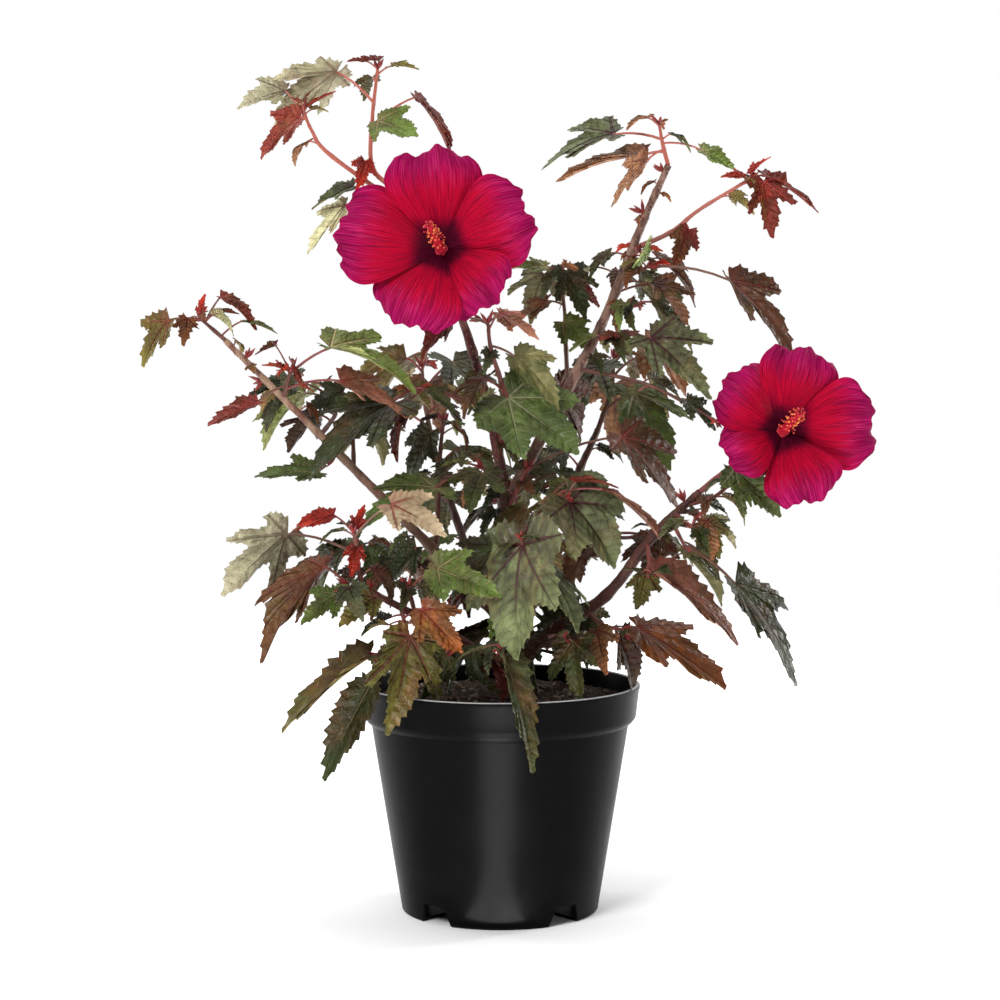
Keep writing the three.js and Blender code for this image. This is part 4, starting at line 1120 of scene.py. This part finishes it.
def stem_paint(name, young, old, roughness):
    """Skin of twigs and leaf stalks, redder or browner from stem to stem."""
    paint = Paint(name, roughness, 0.4)
    shade = paint.attribute("shade")
    mottle = paint.step(paint.noise(160, 4), 0.35, 0.65)
    height = paint.height()
    colour = paint.mix(0.45 * mottle, paint.mix(shade, young, old), shaded(old, 0.55))
    colour = paint.mix(0.75 * paint.step(height, 0.42, 0.5), colour, tint(186, 100, 84))
    paint.colour(colour)
    paint.relief(mottle, 0.35)
    return paint


def bark_paint(name, light, dark):
    """Bark with paler pores, streaked along the stem, and painted shade that darkens it low under the crown.
    """
    paint = Paint(name, 0.6, 0.4)
    grain = paint.noise(190, 5, (1, 1, 0.3))
    pores = 1 - paint.step(paint.cells(330), 0.12, 0.34)
    colour = paint.mix(paint.step(grain, 0.36, 0.66), light, dark)
    colour = paint.mix(0.4 * pores, colour, tint(176, 148, 126))
    # Painted shade: bark below about 0.3 m, under the crown, is painted darker.
    height = paint.height()
    paint.colour(paint.mix(0.7 - 0.7 * paint.step(height, 0.25, 0.36), colour, shaded(dark, 0.8)))
    paint.roughness(0.5 + 0.2 * grain)
    paint.relief(grain + 0.35 * pores, 0.8)
    return paint


def petal_paint():
    """Crimson petals: a dark eye, a bright red middle and magenta rims, with fine ribs fanning out."""
    paint = Paint("petals", 0.6, 0.06)
    across, along = paint.across_and_along("chart")
    own = paint.attribute("shade") * 9
    fan = paint.node("ShaderNodeCombineXYZ", None, {0: across * 60, 1: along * 2.4, 2: own})
    streak = paint.noise(1.0, 4, vector=fan)
    fine_fan = paint.node("ShaderNodeCombineXYZ", None, {0: across * 110, 1: along * 3, 2: 0.3})
    fine = paint.noise(1.0, 2, vector=fine_fan)
    wander = along + 0.2 * streak - 0.1
    colour = paint.mix(paint.step(wander, 0.13, 0.3), tint(66, 0, 26), tint(170, 0, 40))
    colour = paint.mix(paint.step(wander, 0.48, 0.95), colour, tint(148, 6, 78))
    dark = paint.step(streak, 0.48, 0.62)
    colour = paint.mix(0.62 * dark, colour, tint(98, 0, 36))
    light = paint.step(fine, 0.52, 0.64) * paint.step(wander, 0.4, 0.85)
    colour = paint.mix(0.4 * light, colour, tint(208, 56, 112))
    paint.colour(colour)
    paint.roughness(0.55 + 0.15 * streak)
    paint.relief(0.7 * streak + 0.3 * fine, 2.0)
    return paint


def plain_plant_paint(name, colour, other, scale, roughness=0.5):
    """A mottled skin between two colours, for grains, buds and crumbs."""
    paint = Paint(name, roughness, 0.4)
    shade = paint.attribute("shade")
    mottle = paint.step(paint.noise(scale, 3), 0.35, 0.65)
    paint.colour(paint.mix(0.6 * mottle + 0.4 * shade - 0.1, colour, other))
    paint.relief(mottle, 0.3)
    return paint


# Leaves, twigs and buds

leaf_parts = {tone: [] for tone in TONES}
stem_parts = []
stalk_parts = []
bud_parts = []
standing_for = {tone: set() for tone in TONES}

STEM_STEP = 5
KNOT_EVERY = 4
KNOT_SWELL = 0.16
STEM_SLIMMER = 0.88
BUD_LENGTHS = (6, 12)
BUD_LEANS = (0.35, 0.75)
BUD_RADII = (0.5, 0.7, 1.15, 1.3, 1.05, 0.6, 0.2)


def make_stem(made, random):
    """A twig with a swollen knot every few steps."""
    steps = max(3, round(made.line.length() / STEM_STEP))
    spots = np.linspace(0, 1, steps + 1)
    knots = [1 + KNOT_SWELL * (k % KNOT_EVERY == 2) for k in range(steps + 1)]
    radii = np.array([made.radius(t) for t in spots]) * knots * STEM_SLIMMER
    stem_parts.append(tube([made.line.at(t) for t in spots], radii, 7, next(random)))


def make_buds(root, way, random):
    """A few pointed buds that stand close together."""
    start = next(random) * 2 * math.pi
    for k in range(3 + int(2 * next(random))):
        lean = unit(np.cross(way, (math.sin(2.1 * k + start), math.cos(2.1 * k + start), 0.3)))
        aim = unit(way + between(random, *BUD_LEANS) * lean)
        long = between(random, *BUD_LENGTHS)
        spots = [root + aim * long * (t - 0.05) for t in np.linspace(0, 1, len(BUD_RADII))]
        bud_parts.append(tube(spots, BUD_RADII, 6, next(random)))


def dress_shoots():
    for index, made in enumerate([*shoots, *tufts]):
        random = seeded(70001 + 97 * index)
        if isinstance(made, Shoot):
            make_stem(made, random)
            if not made.bloom:
                make_buds(made.line.at(1), made.line.way(1), random)
        for grown in made.leaves:
            leaf_parts[grown.tone].append(blade(grown, random))
            stalk_parts.append(stalk(grown, random))
            if isinstance(made, Shoot):
                standing_for[grown.tone].add(made.name)


BUD_SPOTS = (
    ("bough_left_high", 0.93), ("bough_left_high", 0.86), ("bough_left_high", 0.6), ("bough_left_low", 0.95),
    ("bough_left_leader", 0.97), ("bough_left_leader", 0.8), ("bough_right_leader", 0.97),
    ("bough_right_leader", 0.8), ("bough_right_low", 0.9), ("trunk", 0.9),
)


def dress_limbs():
    """Bud clusters that spring from the sides of the boughs."""
    random = seeded(1907)
    for name, at in BUD_SPOTS:
        limb = limbs[name]
        way = limb.line.way(at)
        side = unit(np.cross(way, (0.1, 1, 0.2))) * (1 if next(random) < 0.5 else -1)
        root = limb.line.at(at) + side * limb.radius(at) * 0.8
        make_buds(root, unit(side + 0.5 * way), random)


dress_shoots()
dress_limbs()

for tone, parts in leaf_parts.items():
    if not parts:
        continue
    face, patches, tinge, rib, underside = TONES[tone]
    paints = [
        leaf_paint(f"leaf_{tone}", face, patches, tinge, rib, 0.8),
        leaf_paint(f"leaf_under_{tone}", underside, face, tinge, rib, 0.5),
    ]
    piece = joined(f"leaves_{tone}", parts, paints)
    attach(piece, "root")
    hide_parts(*sorted(standing_for[tone]))

twig_finish = stem_paint("twig_skin", tint(132, 62, 58), tint(96, 62, 52), 0.55)
twigs = joined("twigs", stem_parts, [twig_finish])
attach(twigs, "root")
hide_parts(*[made.name for made in shoots])

stalk_finish = stem_paint("stalk_skin", tint(138, 52, 56), tint(104, 74, 58), 0.45)
stalks = joined("leaf_stalks", stalk_parts, [stalk_finish])
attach(stalks, "root")

bud_finish = plain_plant_paint("bud_skin", tint(104, 22, 36), tint(150, 58, 44), 260)
buds = joined("buds", bud_parts, [bud_finish])
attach(buds, "root")

# Blooms

PETAL_ROWS = 26
PETAL_COLUMNS = 24
PETAL_THICKNESS = 0.5
PETAL_FOOT = 3.5
PETAL_SWING = 9
PETAL_RIB = 0.5
PETAL_RIBS = 40
PETAL_ROLL = 3.5
# Waves as size, growth towards the rim, count and slant: notches are shares of the length, ruffles heights
NOTCHES = ((0.035, 6, 6, 0), (0.02, 8, 17, 0))
RUFFLES = ((2.5, 1, 3, 4), (3.6, 3, 7, 0), (1.3, 5, 17, 3))
ANTHERS = 58
# Where the anthers start along the column and how far they run, as shares of it
ANTHERS_FROM, ANTHERS_RUN = 0.24, 0.72
ANTHER_STALKS = (3.2, 7.8)
STIGMAS = 5
STIGMA_LONG = 4
COLUMN_STEPS = 9
COLUMN_TIP, COLUMN_SWELL = 1.3, 1.9
CUP_LEAVES = 9
CUP_SHAPE = ((-0.72, 3.2), (-0.54, 5.2), (-0.36, 6.4), (-0.2, 6.8), (-0.05, 6.2))


def petal_width(along):
    """A petal's half width there, as a share of its widest: a narrow foot and a round end."""
    widening = 0.18 + 0.82 * np.sin(np.minimum(1, along * 1.35) * math.pi * 0.5) ** 1.25
    return widening * np.sqrt(1 - (np.maximum(0, along - 0.7) / 0.52) ** 2)


def waved(waves, along, side, starts):
    """The sum of a few waves across a petal, each growing towards its rim."""
    return sum(
        size * along**growth * np.sin(count * side + slant * along + start)
        for (size, growth, count, slant), start in zip(waves, starts)
    )


def petal(bloom, angle, length, width, random):
    """One petal, from its foot (along 0) to its notched rim (along 1) and from side -1 to side 1."""
    eye, face, right, top = bloom_frame(bloom)
    out = right * math.cos(angle * DEG) + top * math.sin(angle * DEG)
    across = np.cross(face, out)
    rows, columns = np.linspace(0, 1, PETAL_ROWS), np.linspace(-1, 1, PETAL_COLUMNS)
    along, side = (grid.ravel() for grid in np.meshgrid(rows, columns, indexing="ij"))
    waves = [next(random) * 2 * math.pi for _ in range(4)]
    rounding = 1 - 0.15 * np.abs(side) ** 3 * along * along
    notch = 1 + waved(NOTCHES, along, side, waves[:2])
    reach = PETAL_FOOT + (length * notch - PETAL_FOOT) * along * rounding
    aside = side * width * petal_width(along)
    rise = -bloom["cup"] * (1 - along) ** 2 + aside * math.tan(PETAL_SWING * DEG)
    rise += waved(RUFFLES, along, side, (0, *waves[2:]))
    rise += PETAL_RIB * along * (1.1 - along) * np.sin(PETAL_RIBS * side + 2 * np.sin(5 * along))
    rise -= PETAL_ROLL * along**6 * (1 - 0.4 * np.cos(5 * side + waves[0]))
    spots = eye + reach[:, None] * out + aside[:, None] * across + rise[:, None] * face
    grid = np.arange(len(spots)).reshape(PETAL_ROWS, PETAL_COLUMNS)
    near, far = grid[:-1, :-1].ravel(), grid[1:, :-1].ravel()
    faces = np.vstack([np.column_stack([near, far, far + 1]), np.column_stack([near, far + 1, near + 1])])
    loop = [*grid[0], *grid[1:, -1], *grid[-1, -2::-1], *grid[-2:0:-1, 0]][::-1]
    chart = np.column_stack([0.5 + 0.5 * side, along])
    return thin_sheet(spots, spots - face * PETAL_THICKNESS, faces, loop, chart, next(random), 0)


def ball(centre, radius, shade, squash=1.0, way=UP):
    """A small round grain: a point at each end and two rings of five."""
    side = unit(np.cross(way, (0.31, 0.57, 0.76)))
    other = np.cross(way, side)
    tall, wide = radius * squash * way, radius * 0.9
    places = [centre + tall, centre - tall]
    for level in (0.45, -0.45):
        for k in range(5):
            angle = (k + (level < 0) * 0.5) * 0.4 * math.pi
            out = side * math.cos(angle) + other * math.sin(angle)
            places.append(centre + level * tall + wide * out)
    faces = []
    for k in range(5):
        a, b = 2 + k, 2 + (k + 1) % 5
        c, d = 7 + k, 7 + (k + 1) % 5
        faces += [(0, a, b), (1, d, c), (a, c, b), (b, c, d)]
    return Part(places, faces, shade=shade)


def bloom_parts(made, index):
    """Petals, the column with its anthers, and the green cup behind."""
    bloom = made.bloom
    random = seeded(31337 + index)
    eye, face, right, top = bloom_frame(bloom)
    petals = [petal(bloom, *shape, random) for shape in bloom["petals"]]
    column_tip = eye + np.array(bloom["column"], float)
    base = eye - face * bloom["cup"]
    receptacle = [base - face * 3.5, base - face * 1.5, base + face * 0.3]
    spine = [base + (column_tip - base) * t for t in np.linspace(0, 1, COLUMN_STEPS)]
    thick = COLUMN_TIP + COLUMN_SWELL * np.linspace(1, 0, COLUMN_STEPS) ** 1.3
    column = [tube(spine, thick, 10, 0.4)]
    column.append(tube(receptacle, [3.6, 5.2, 4.4], 12, 0))
    axis = unit(column_tip - base)
    side = unit(np.cross(axis, UP))
    other = np.cross(axis, side)
    anthers = []
    for k in range(ANTHERS):
        at = ANTHERS_FROM + ANTHERS_RUN * (k + 0.5) / ANTHERS
        angle = k * LEAF_TURN * DEG
        root = base + (column_tip - base) * at
        way = unit(side * math.cos(angle) + other * math.sin(angle) + 0.55 * axis)
        long = between(random, *ANTHER_STALKS) * (1.25 - 0.6 * at)
        end = root + way * long
        column.append(tube([root, (root + end) / 2 + axis * 0.3, end], [0.26, 0.22, 0.18], 4, next(random)))
        anthers.append(ball(end, 0.6 + 0.3 * next(random), at * next(random), 0.8, way))
    for k in range(STIGMAS):
        angle = (360 / STIGMAS * k + 20) * DEG
        way = unit(axis + 0.7 * (side * math.cos(angle) + other * math.sin(angle)))
        end = column_tip + way * STIGMA_LONG
        spots = [column_tip - axis, column_tip + way * STIGMA_LONG / 2, end]
        column.append(tube(spots, [0.5, 0.45, 0.4], 5, 0.2))
        column.append(ball(end, 1.1, 0.1, 0.8, way))
    depth = face * bloom["cup"]
    calyx = [tube([base + depth * share for share, _ in CUP_SHAPE], [radius for _, radius in CUP_SHAPE], 14)]
    for k in range(CUP_LEAVES):
        angle = 360 / CUP_LEAVES * k * DEG
        way = right * math.cos(angle) + top * math.sin(angle)
        foot = base - depth * 0.62
        spots = [foot + way * 3, foot + way * 7 + face * 2, foot + way * 10 + face * 7]
        calyx.append(tube(spots, [0.9, 0.8, 0.3], 5, next(random)))
    return petals, column, anthers, calyx


petal_finish = petal_paint()
column_finish = plain_plant_paint("column_skin", tint(158, 4, 36), tint(206, 36, 52), 300)
anther_finish = plain_plant_paint("anther_grain", tint(196, 22, 40), tint(240, 160, 72), 420, 0.7)
calyx_finish = plain_plant_paint("calyx_skin", tint(96, 96, 58), tint(122, 54, 48), 150, 0.6)
columns, anthers, calyxes = [], [], []
for index, made in enumerate([made for made in shoots if made.bloom]):
    side = made.name.rsplit("_", 1)[-1]
    petals, column, grains, calyx = bloom_parts(made, index)
    columns += column
    anthers += grains
    calyxes += calyx
    piece = joined(f"petals_{side}", petals, [petal_finish], 60)
    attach(piece, "root")
    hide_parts(made.name)
for name, parts, finish in (
    ("bloom_columns", columns, column_finish),
    ("anthers", anthers, anther_finish),
    ("calyxes", calyxes, calyx_finish),
):
    piece = joined(name, parts, [finish])
    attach(piece, "root")
    "petal" if name != "calyxes" else "leaf"

# Trunk and boughs, with the bark's relief


def deselect():
    if bpy.context.mode != "OBJECT":
        bpy.ops.object.mode_set(mode="OBJECT")
    bpy.ops.object.select_all(action="DESELECT")


def make_active(piece):
    deselect()
    piece.select_set(True)
    bpy.context.view_layer.objects.active = piece


def apply_modifier(piece, kind, **settings):
    make_active(piece)
    made = piece.modifiers.new(kind.lower(), kind)
    for key, value in settings.items():
        setattr(made, key, value)
    bpy.ops.object.modifier_apply(modifier=made.name)


def cloud(name, size, depth=3):
    texture = bpy.data.textures.new(name, "CLOUDS")
    texture.noise_scale = size * MM
    texture.noise_depth = depth
    return texture


BARK_STEP = 3
NODE_EVERY = 26
NODE_SWELL = 0.16
NODE_SHIFT = 9
LUMP_DEPTH, WRINKLE_DEPTH = 1.1, 0.7
BARKS = {
    "trunk": (tint(104, 62, 46), tint(58, 32, 26)),
    "bough_left_leader": (tint(112, 52, 46), tint(62, 28, 28)),
    "bough_right_leader": (tint(134, 102, 86), tint(82, 50, 42)),
    "bough_right_low": (tint(116, 62, 48), tint(66, 34, 28)),
    "bough_left_high": (tint(150, 122, 100), tint(106, 66, 54)),
    "bough_left_low": (tint(124, 54, 50), tint(74, 32, 32)),
    "bough_back_left": (tint(112, 66, 52), tint(64, 36, 30)),
    "bough_back_right": (tint(112, 66, 52), tint(64, 36, 30)),
}
bark_wrinkles = cloud("bark_wrinkles", 2.2)
bark_lumps = cloud("bark_lumps", 9, 1)


def make_limb(name, limb, index):
    """A limb as a round curve with swollen nodes, made a mesh and roughened."""
    rings = round(limb.long / BARK_STEP)
    curve = bpy.data.curves.new(f"{name}_bark", "CURVE")
    curve.dimensions = "3D"
    curve.bevel_depth = MM
    curve.bevel_resolution = 6
    curve.use_fill_caps = True
    spline = curve.splines.new("POLY")
    spline.points.add(rings)
    for k, point in enumerate(spline.points):
        t = k / rings
        place = limb.line.at(t)
        point.co = (*(place * MM), 1)
        near_node = abs((t * limb.long + NODE_SHIFT * index) % NODE_EVERY - NODE_EVERY / 2)
        point.radius = limb.radius(t) * (0.94 + NODE_SWELL * max(0, 1 - near_node / 4))
    piece = bpy.data.objects.new(f"{name}_bark", curve)
    bpy.context.scene.collection.objects.link(piece)
    make_active(piece)
    bpy.ops.object.convert(target="MESH")
    piece = bpy.context.object
    apply_modifier(piece, "DISPLACE", texture=bark_lumps, texture_coords="GLOBAL", strength=LUMP_DEPTH * MM)
    wrinkle = {"texture": bark_wrinkles, "texture_coords": "GLOBAL", "strength": WRINKLE_DEPTH * MM}
    apply_modifier(piece, "DISPLACE", **wrinkle)
    make_active(piece)
    bpy.ops.object.mode_set(mode="EDIT")
    bpy.ops.mesh.select_all(action="SELECT")
    bpy.ops.mesh.remove_doubles(threshold=1e-6)
    bpy.ops.mesh.normals_make_consistent(inside=False)
    bpy.ops.object.mode_set(mode="OBJECT")
    bpy.ops.object.shade_smooth_by_angle(angle=50 * DEG)
    piece.data.materials.clear()
    piece.data.materials.append(bark_paint(f"bark_of_{name}", *BARKS[name]).material)
    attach(piece, "root")
    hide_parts(name)


for index, (name, limb) in enumerate(limbs.items()):
    make_limb(name, limb, index)

# The pot, turned from a disc by pulling its edge up and out, down inside and back to the middle

POT_HEIGHT = 155
BAND_DEPTH = 22
BAND_DRAFT = 2.4
BAND_STEP = 5.2
WALL_TAPER = math.tan(9.2 * DEG)
WALL = 2.4
POT_SIDES = 96
CHANNEL_ANGLES = (50, 130, 230, 310)
CHANNEL_HEIGHT = 13
CHANNEL_FOOT = 27
CHANNEL_ROOF = 17
CHANNEL_INNER = 36

wall_top = RIM_RADIUS - BAND_DRAFT - BAND_STEP
band_foot = POT_HEIGHT - BAND_DEPTH


def wall_at(z):
    """The pot wall's outer radius at a height."""
    return wall_top - (band_foot - BAND_STEP - z) * WALL_TAPER


def turn_up(name, profile, sides):
    """A round form from its profile of (radius, height), which starts and ends on the axis."""
    deselect()
    radius, height = profile[0]
    spot = (0, 0, height * MM)
    bpy.ops.mesh.primitive_circle_add(vertices=sides, radius=radius * MM, fill_type="TRIFAN", location=spot)
    piece = bpy.context.object
    piece.name = name
    bpy.ops.object.transform_apply(location=True, rotation=True, scale=True)
    bpy.ops.object.mode_set(mode="EDIT")
    bpy.ops.mesh.select_mode(type="EDGE")
    bpy.ops.mesh.select_all(action="DESELECT")
    bpy.ops.mesh.select_non_manifold()
    for (before, low), (after, high) in zip(profile, profile[1:]):
        move = {"value": (0, 0, (high - low) * MM)}
        bpy.ops.mesh.extrude_region_move(TRANSFORM_OT_translate=move)
        share = after / before
        bpy.ops.transform.resize(value=(share, share, 1), center_override=(0, 0, high * MM))
    bpy.ops.mesh.edge_face_add()
    bpy.ops.mesh.poke()
    bpy.ops.mesh.select_all(action="SELECT")
    bpy.ops.mesh.normals_make_consistent(inside=False)
    bpy.ops.object.mode_set(mode="OBJECT")
    return piece


def channel_cutter(angle):
    """A drainage channel's block, narrower at its roof, lying along the underside."""
    deselect()
    long = RIM_RADIUS
    middle = (0, (CHANNEL_INNER + long / 2) * MM, CHANNEL_HEIGHT / 2 * MM)
    bpy.ops.mesh.primitive_cube_add(size=1, location=middle)
    block = bpy.context.object
    block.scale = (CHANNEL_FOOT * MM, long * MM, CHANNEL_HEIGHT * MM)
    bpy.ops.object.transform_apply(location=True, rotation=True, scale=True)
    for corner in block.data.vertices:
        if corner.co.z > MM:
            corner.co.x *= CHANNEL_ROOF / CHANNEL_FOOT
        else:
            corner.co.z = -2 * MM
    block.rotation_euler = (0, 0, (angle - 90) * DEG)
    bpy.ops.object.transform_apply(location=True, rotation=True, scale=True)
    return block


def cut_with(piece, cutter):
    apply_modifier(piece, "BOOLEAN", object=cutter, operation="DIFFERENCE", solver="EXACT")
    bpy.data.objects.remove(cutter)


def pot_paint():
    """Satin black plastic, a little scuffed and with soil dust towards the foot, and a painted highlight
    along the rim's top edge.
    """
    paint = Paint("pot_plastic", 0.3, 0.04)
    height = paint.height()
    smear = paint.step(paint.noise(22, 5), 0.42, 0.7)
    scuff = paint.step(paint.noise(300, 2, (1, 1, 0.08)), 0.6, 0.75)
    low = 1 - paint.step(height, 0.0, 0.05)
    colour = paint.mix(0.3 * smear, tint(6, 6, 7), tint(12, 12, 13))
    colour = paint.mix(0.12 * low * smear, colour, tint(50, 47, 44))
    # Painted highlight: the rim's top edge is painted pale grey where light would glint on it.
    painted_rim_highlight = paint.step(height, (POT_HEIGHT - 0.7) * MM, (POT_HEIGHT - 0.2) * MM)
    paint.colour(paint.mix(0.85 * painted_rim_highlight, colour, tint(190, 190, 190)))
    paint.roughness(0.3 + 0.06 * smear + 0.08 * scuff)
    paint.relief(paint.noise(90, 3, (1, 1, 0.4)), 0.12)
    return paint


def make_pot():
    neck = band_foot - BAND_STEP
    band = wall_top + BAND_STEP
    outside = [
        (wall_at(0) - 8, 0), (wall_at(0) - 1.2, 0),
        *((wall_at(z), z) for z in (1.2, 40, 80, neck - 2.4, neck)),
        (wall_top + BAND_STEP * 0.55, band_foot - BAND_STEP * 0.6), (band - 0.8, band_foot - 1.2),
        (band, band_foot + 0.6), (band + 0.2, band_foot + 3), (RIM_RADIUS - 0.5, POT_HEIGHT - 4.2),
        (RIM_RADIUS, POT_HEIGHT - 3.2), (RIM_RADIUS, POT_HEIGHT - 0.9), (RIM_RADIUS - 0.9, POT_HEIGHT),
    ]
    inside = [
        (RIM_RADIUS - WALL, POT_HEIGHT), (RIM_RADIUS - WALL - 0.7, POT_HEIGHT - 0.7),
        (band - WALL, band_foot), (wall_at(neck) - WALL, neck), (wall_at(WALL) - WALL, WALL),
    ]
    pot = turn_up("pot_shell", [*outside, *inside], POT_SIDES)
    for angle in CHANNEL_ANGLES:
        cut_with(pot, channel_cutter(angle))
    make_active(pot)
    bpy.ops.object.shade_smooth_by_angle(angle=32 * DEG)
    pot.data.materials.clear()
    pot.data.materials.append(pot_paint().material)
    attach(pot, "root")
    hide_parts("pot")


def soil_paint():
    """Dark moist peat with paler crumbs."""
    paint = Paint("soil_peat", 0.95, 0.2)
    grain = paint.noise(260, 5)
    crumbs = 1 - paint.step(paint.cells(420), 0.1, 0.4)
    colour = paint.mix(paint.step(grain, 0.35, 0.7), tint(30, 22, 18), tint(66, 50, 40))
    paint.colour(paint.mix(0.45 * crumbs, colour, tint(86, 68, 56)))
    paint.relief(grain + crumbs, 1.6)
    return paint


# The lumps and grains of the soil: their size and depth
SOIL_RELIEF = (("soil_lumps", 12, 3), ("soil_grains", 3.5, 2))


def make_soil():
    edge = wall_top + BAND_STEP - WALL - GAP
    deep = band_foot - BAND_STEP
    profile = [
        (wall_at(deep) - WALL - 1.5, deep), (edge - 0.4, band_foot + 1), (edge + 0.6, SOIL_TOP - 2.5),
        (edge - 5, SOIL_TOP - 1),
        *((share * edge, SOIL_TOP - 0.6) for share in (0.86, 0.75, 0.64, 0.53, 0.42)),
        *((share * edge, SOIL_TOP - 0.4) for share in (0.33, 0.24, 0.16)),
    ]
    soil = turn_up("soil_bed", profile, 64)
    apply_modifier(soil, "SUBSURF", levels=2, render_levels=2, subdivision_type="SIMPLE")
    for name, size, depth in SOIL_RELIEF:
        bumps = {"texture": cloud(name, size), "texture_coords": "GLOBAL", "strength": depth * MM}
        apply_modifier(soil, "DISPLACE", direction="Z", **bumps)
    make_active(soil)
    bpy.ops.object.shade_smooth_by_angle(angle=60 * DEG)
    soil.data.materials.clear()
    soil.data.materials.append(soil_paint().material)
    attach(soil, "root")
    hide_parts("soil")


CRUMBS = 420
CRUMB_REACH = 82
CHIP_LENGTHS = (2, 7)
GRIT_RADII = (0.6, 1.7)


def make_crumbs():
    """Pale grit and bits of bark that lie on the soil."""
    random = seeded(4242)
    grit, chips = [], []
    for k in range(CRUMBS):
        spot_radius = CRUMB_REACH * math.sqrt(next(random))
        angle = 360 * next(random) * DEG
        spot = np.array((spot_radius * math.cos(angle), spot_radius * math.sin(angle), SOIL_TOP + 0.3))
        if k % 3 == 0:
            grit.append(ball(spot, between(random, *GRIT_RADII), next(random), 0.8))
        else:
            way = unit(np.array((next(random) - 0.5, next(random) - 0.5, 0.25 * (next(random) - 0.4))))
            long = between(random, *CHIP_LENGTHS)
            spots = [spot - way * long / 2, spot, spot + way * long / 2]
            chips.append(tube(spots, [0.5, 0.9, 0.4], 4, next(random)))
    grit_finish = plain_plant_paint("grit", tint(146, 136, 124), tint(104, 94, 82), 600, 0.9)
    chip_finish = plain_plant_paint("bark_chips", tint(92, 66, 50), tint(52, 38, 30), 400, 0.9)
    for name, parts, finish in (("soil_grit", grit, grit_finish), ("soil_chips", chips, chip_finish)):
        piece = joined(name, parts, [finish], 30)
        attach(piece, "root")


make_pot()
make_soil()
make_crumbs()

# Floor and light

FLOOR_SIZE = 3.4
FLOOR_GLOW = 0.5
PLANT_MIDDLE = (0, 0, 0.3)
# The lamps on the floor that give the pot its bright band: distance from its axis, width and power
BAND_LAMPS = ((0.12, 0.048, 0.16), (0.22, 0.094, 0.4), (0.335, 0.165, 0.94))
BAND_ASIDE = -0.005
BAND_ABOVE_FLOOR = 0.004


def make_floor():
    """A pale floor that glows a little far from the pot, so that its edge doesn't show."""
    deselect()
    bpy.ops.mesh.primitive_plane_add(size=FLOOR_SIZE)
    floor = bpy.context.object
    floor.name = "floor"
    paint = Paint("floor_white", 0.9, 0.1)
    paint.colour(tint(250, 250, 250))
    reach = paint.node("ShaderNodeVectorMath", {"operation": "LENGTH"}, {0: paint.spots()}, output=1)
    glow = paint.mix(paint.step(reach, 0.3, 1.2), (0, 0, 0, 1), (1, 1, 1, 1))
    paint.feed(paint.shader.inputs["Emission Color"], glow)
    paint.feed(paint.shader.inputs["Emission Strength"], FLOOR_GLOW)
    floor.data.materials.append(paint.material)


def add_light(name, place, size, power, aim=PLANT_MIDDLE):
    data = bpy.data.lights.new(name, "AREA")
    data.shape = "RECTANGLE"
    data.size, data.size_y = size
    data.energy = power
    lamp = bpy.data.objects.new(name, data)
    lamp.location = place
    lamp.rotation_euler = (Vector(aim) - Vector(place)).to_track_quat("-Z", "Y").to_euler()
    bpy.context.scene.collection.objects.link(lamp)
    return lamp


def light_studio():
    """A white room, brighter behind the plant, with soft boxes round it and small lamps on the floor."""
    world = bpy.data.worlds.new("studio")
    world.use_nodes = True
    bpy.context.scene.world = world
    tree = world.node_tree
    backdrop = tree.nodes["Background"]
    seen = tree.nodes.new("ShaderNodeLightPath")
    spot = tree.nodes.new("ShaderNodeTexCoord")
    parts = tree.nodes.new("ShaderNodeSeparateXYZ")
    room = tree.nodes.new("ShaderNodeMapRange")
    for socket, value in (("From Min", -0.6), ("From Max", 0.6), ("To Min", 0.1), ("To Max", 0.55)):
        room.inputs[socket].default_value = value
    bright = tree.nodes.new("ShaderNodeMath")
    bright.operation = "MAXIMUM"
    tree.links.new(spot.outputs["Generated"], parts.inputs[0])
    tree.links.new(parts.outputs["Y"], room.inputs["Value"])
    tree.links.new(room.outputs[0], bright.inputs[0])
    tree.links.new(seen.outputs["Is Camera Ray"], bright.inputs[1])
    tree.links.new(bright.outputs[0], backdrop.inputs["Strength"])
    backdrop.inputs["Color"].default_value = (1, 1, 1, 1)
    add_light("key", (-0.9, -1.6, 1.6), (0.8, 0.8), 38)
    add_light("fill", (1.1, -1.9, 0.6), (0.6, 1.2), 6)
    for k, (distance, width, power) in enumerate(BAND_LAMPS):
        place = (BAND_ASIDE, -distance, BAND_ABOVE_FLOOR)
        band = add_light(f"pot_band_{k}", place, (width, 0.1 + 0.015 * k), power, (BAND_ASIDE, -distance, 1))
        band.visible_camera = False
    add_light("top", (0, 0.75, 2.1), (3, 2.6), 44, (0, 0.5, 0))
    add_light("left_strip", (-1.4, 0.7, 0.4), (0.3, 1.4), 11)
    add_light("right_strip", (1.4, 0.7, 0.4), (0.3, 1.4), 22)
    bpy.context.scene.view_settings.view_transform = "Standard"


make_floor()
light_studio()
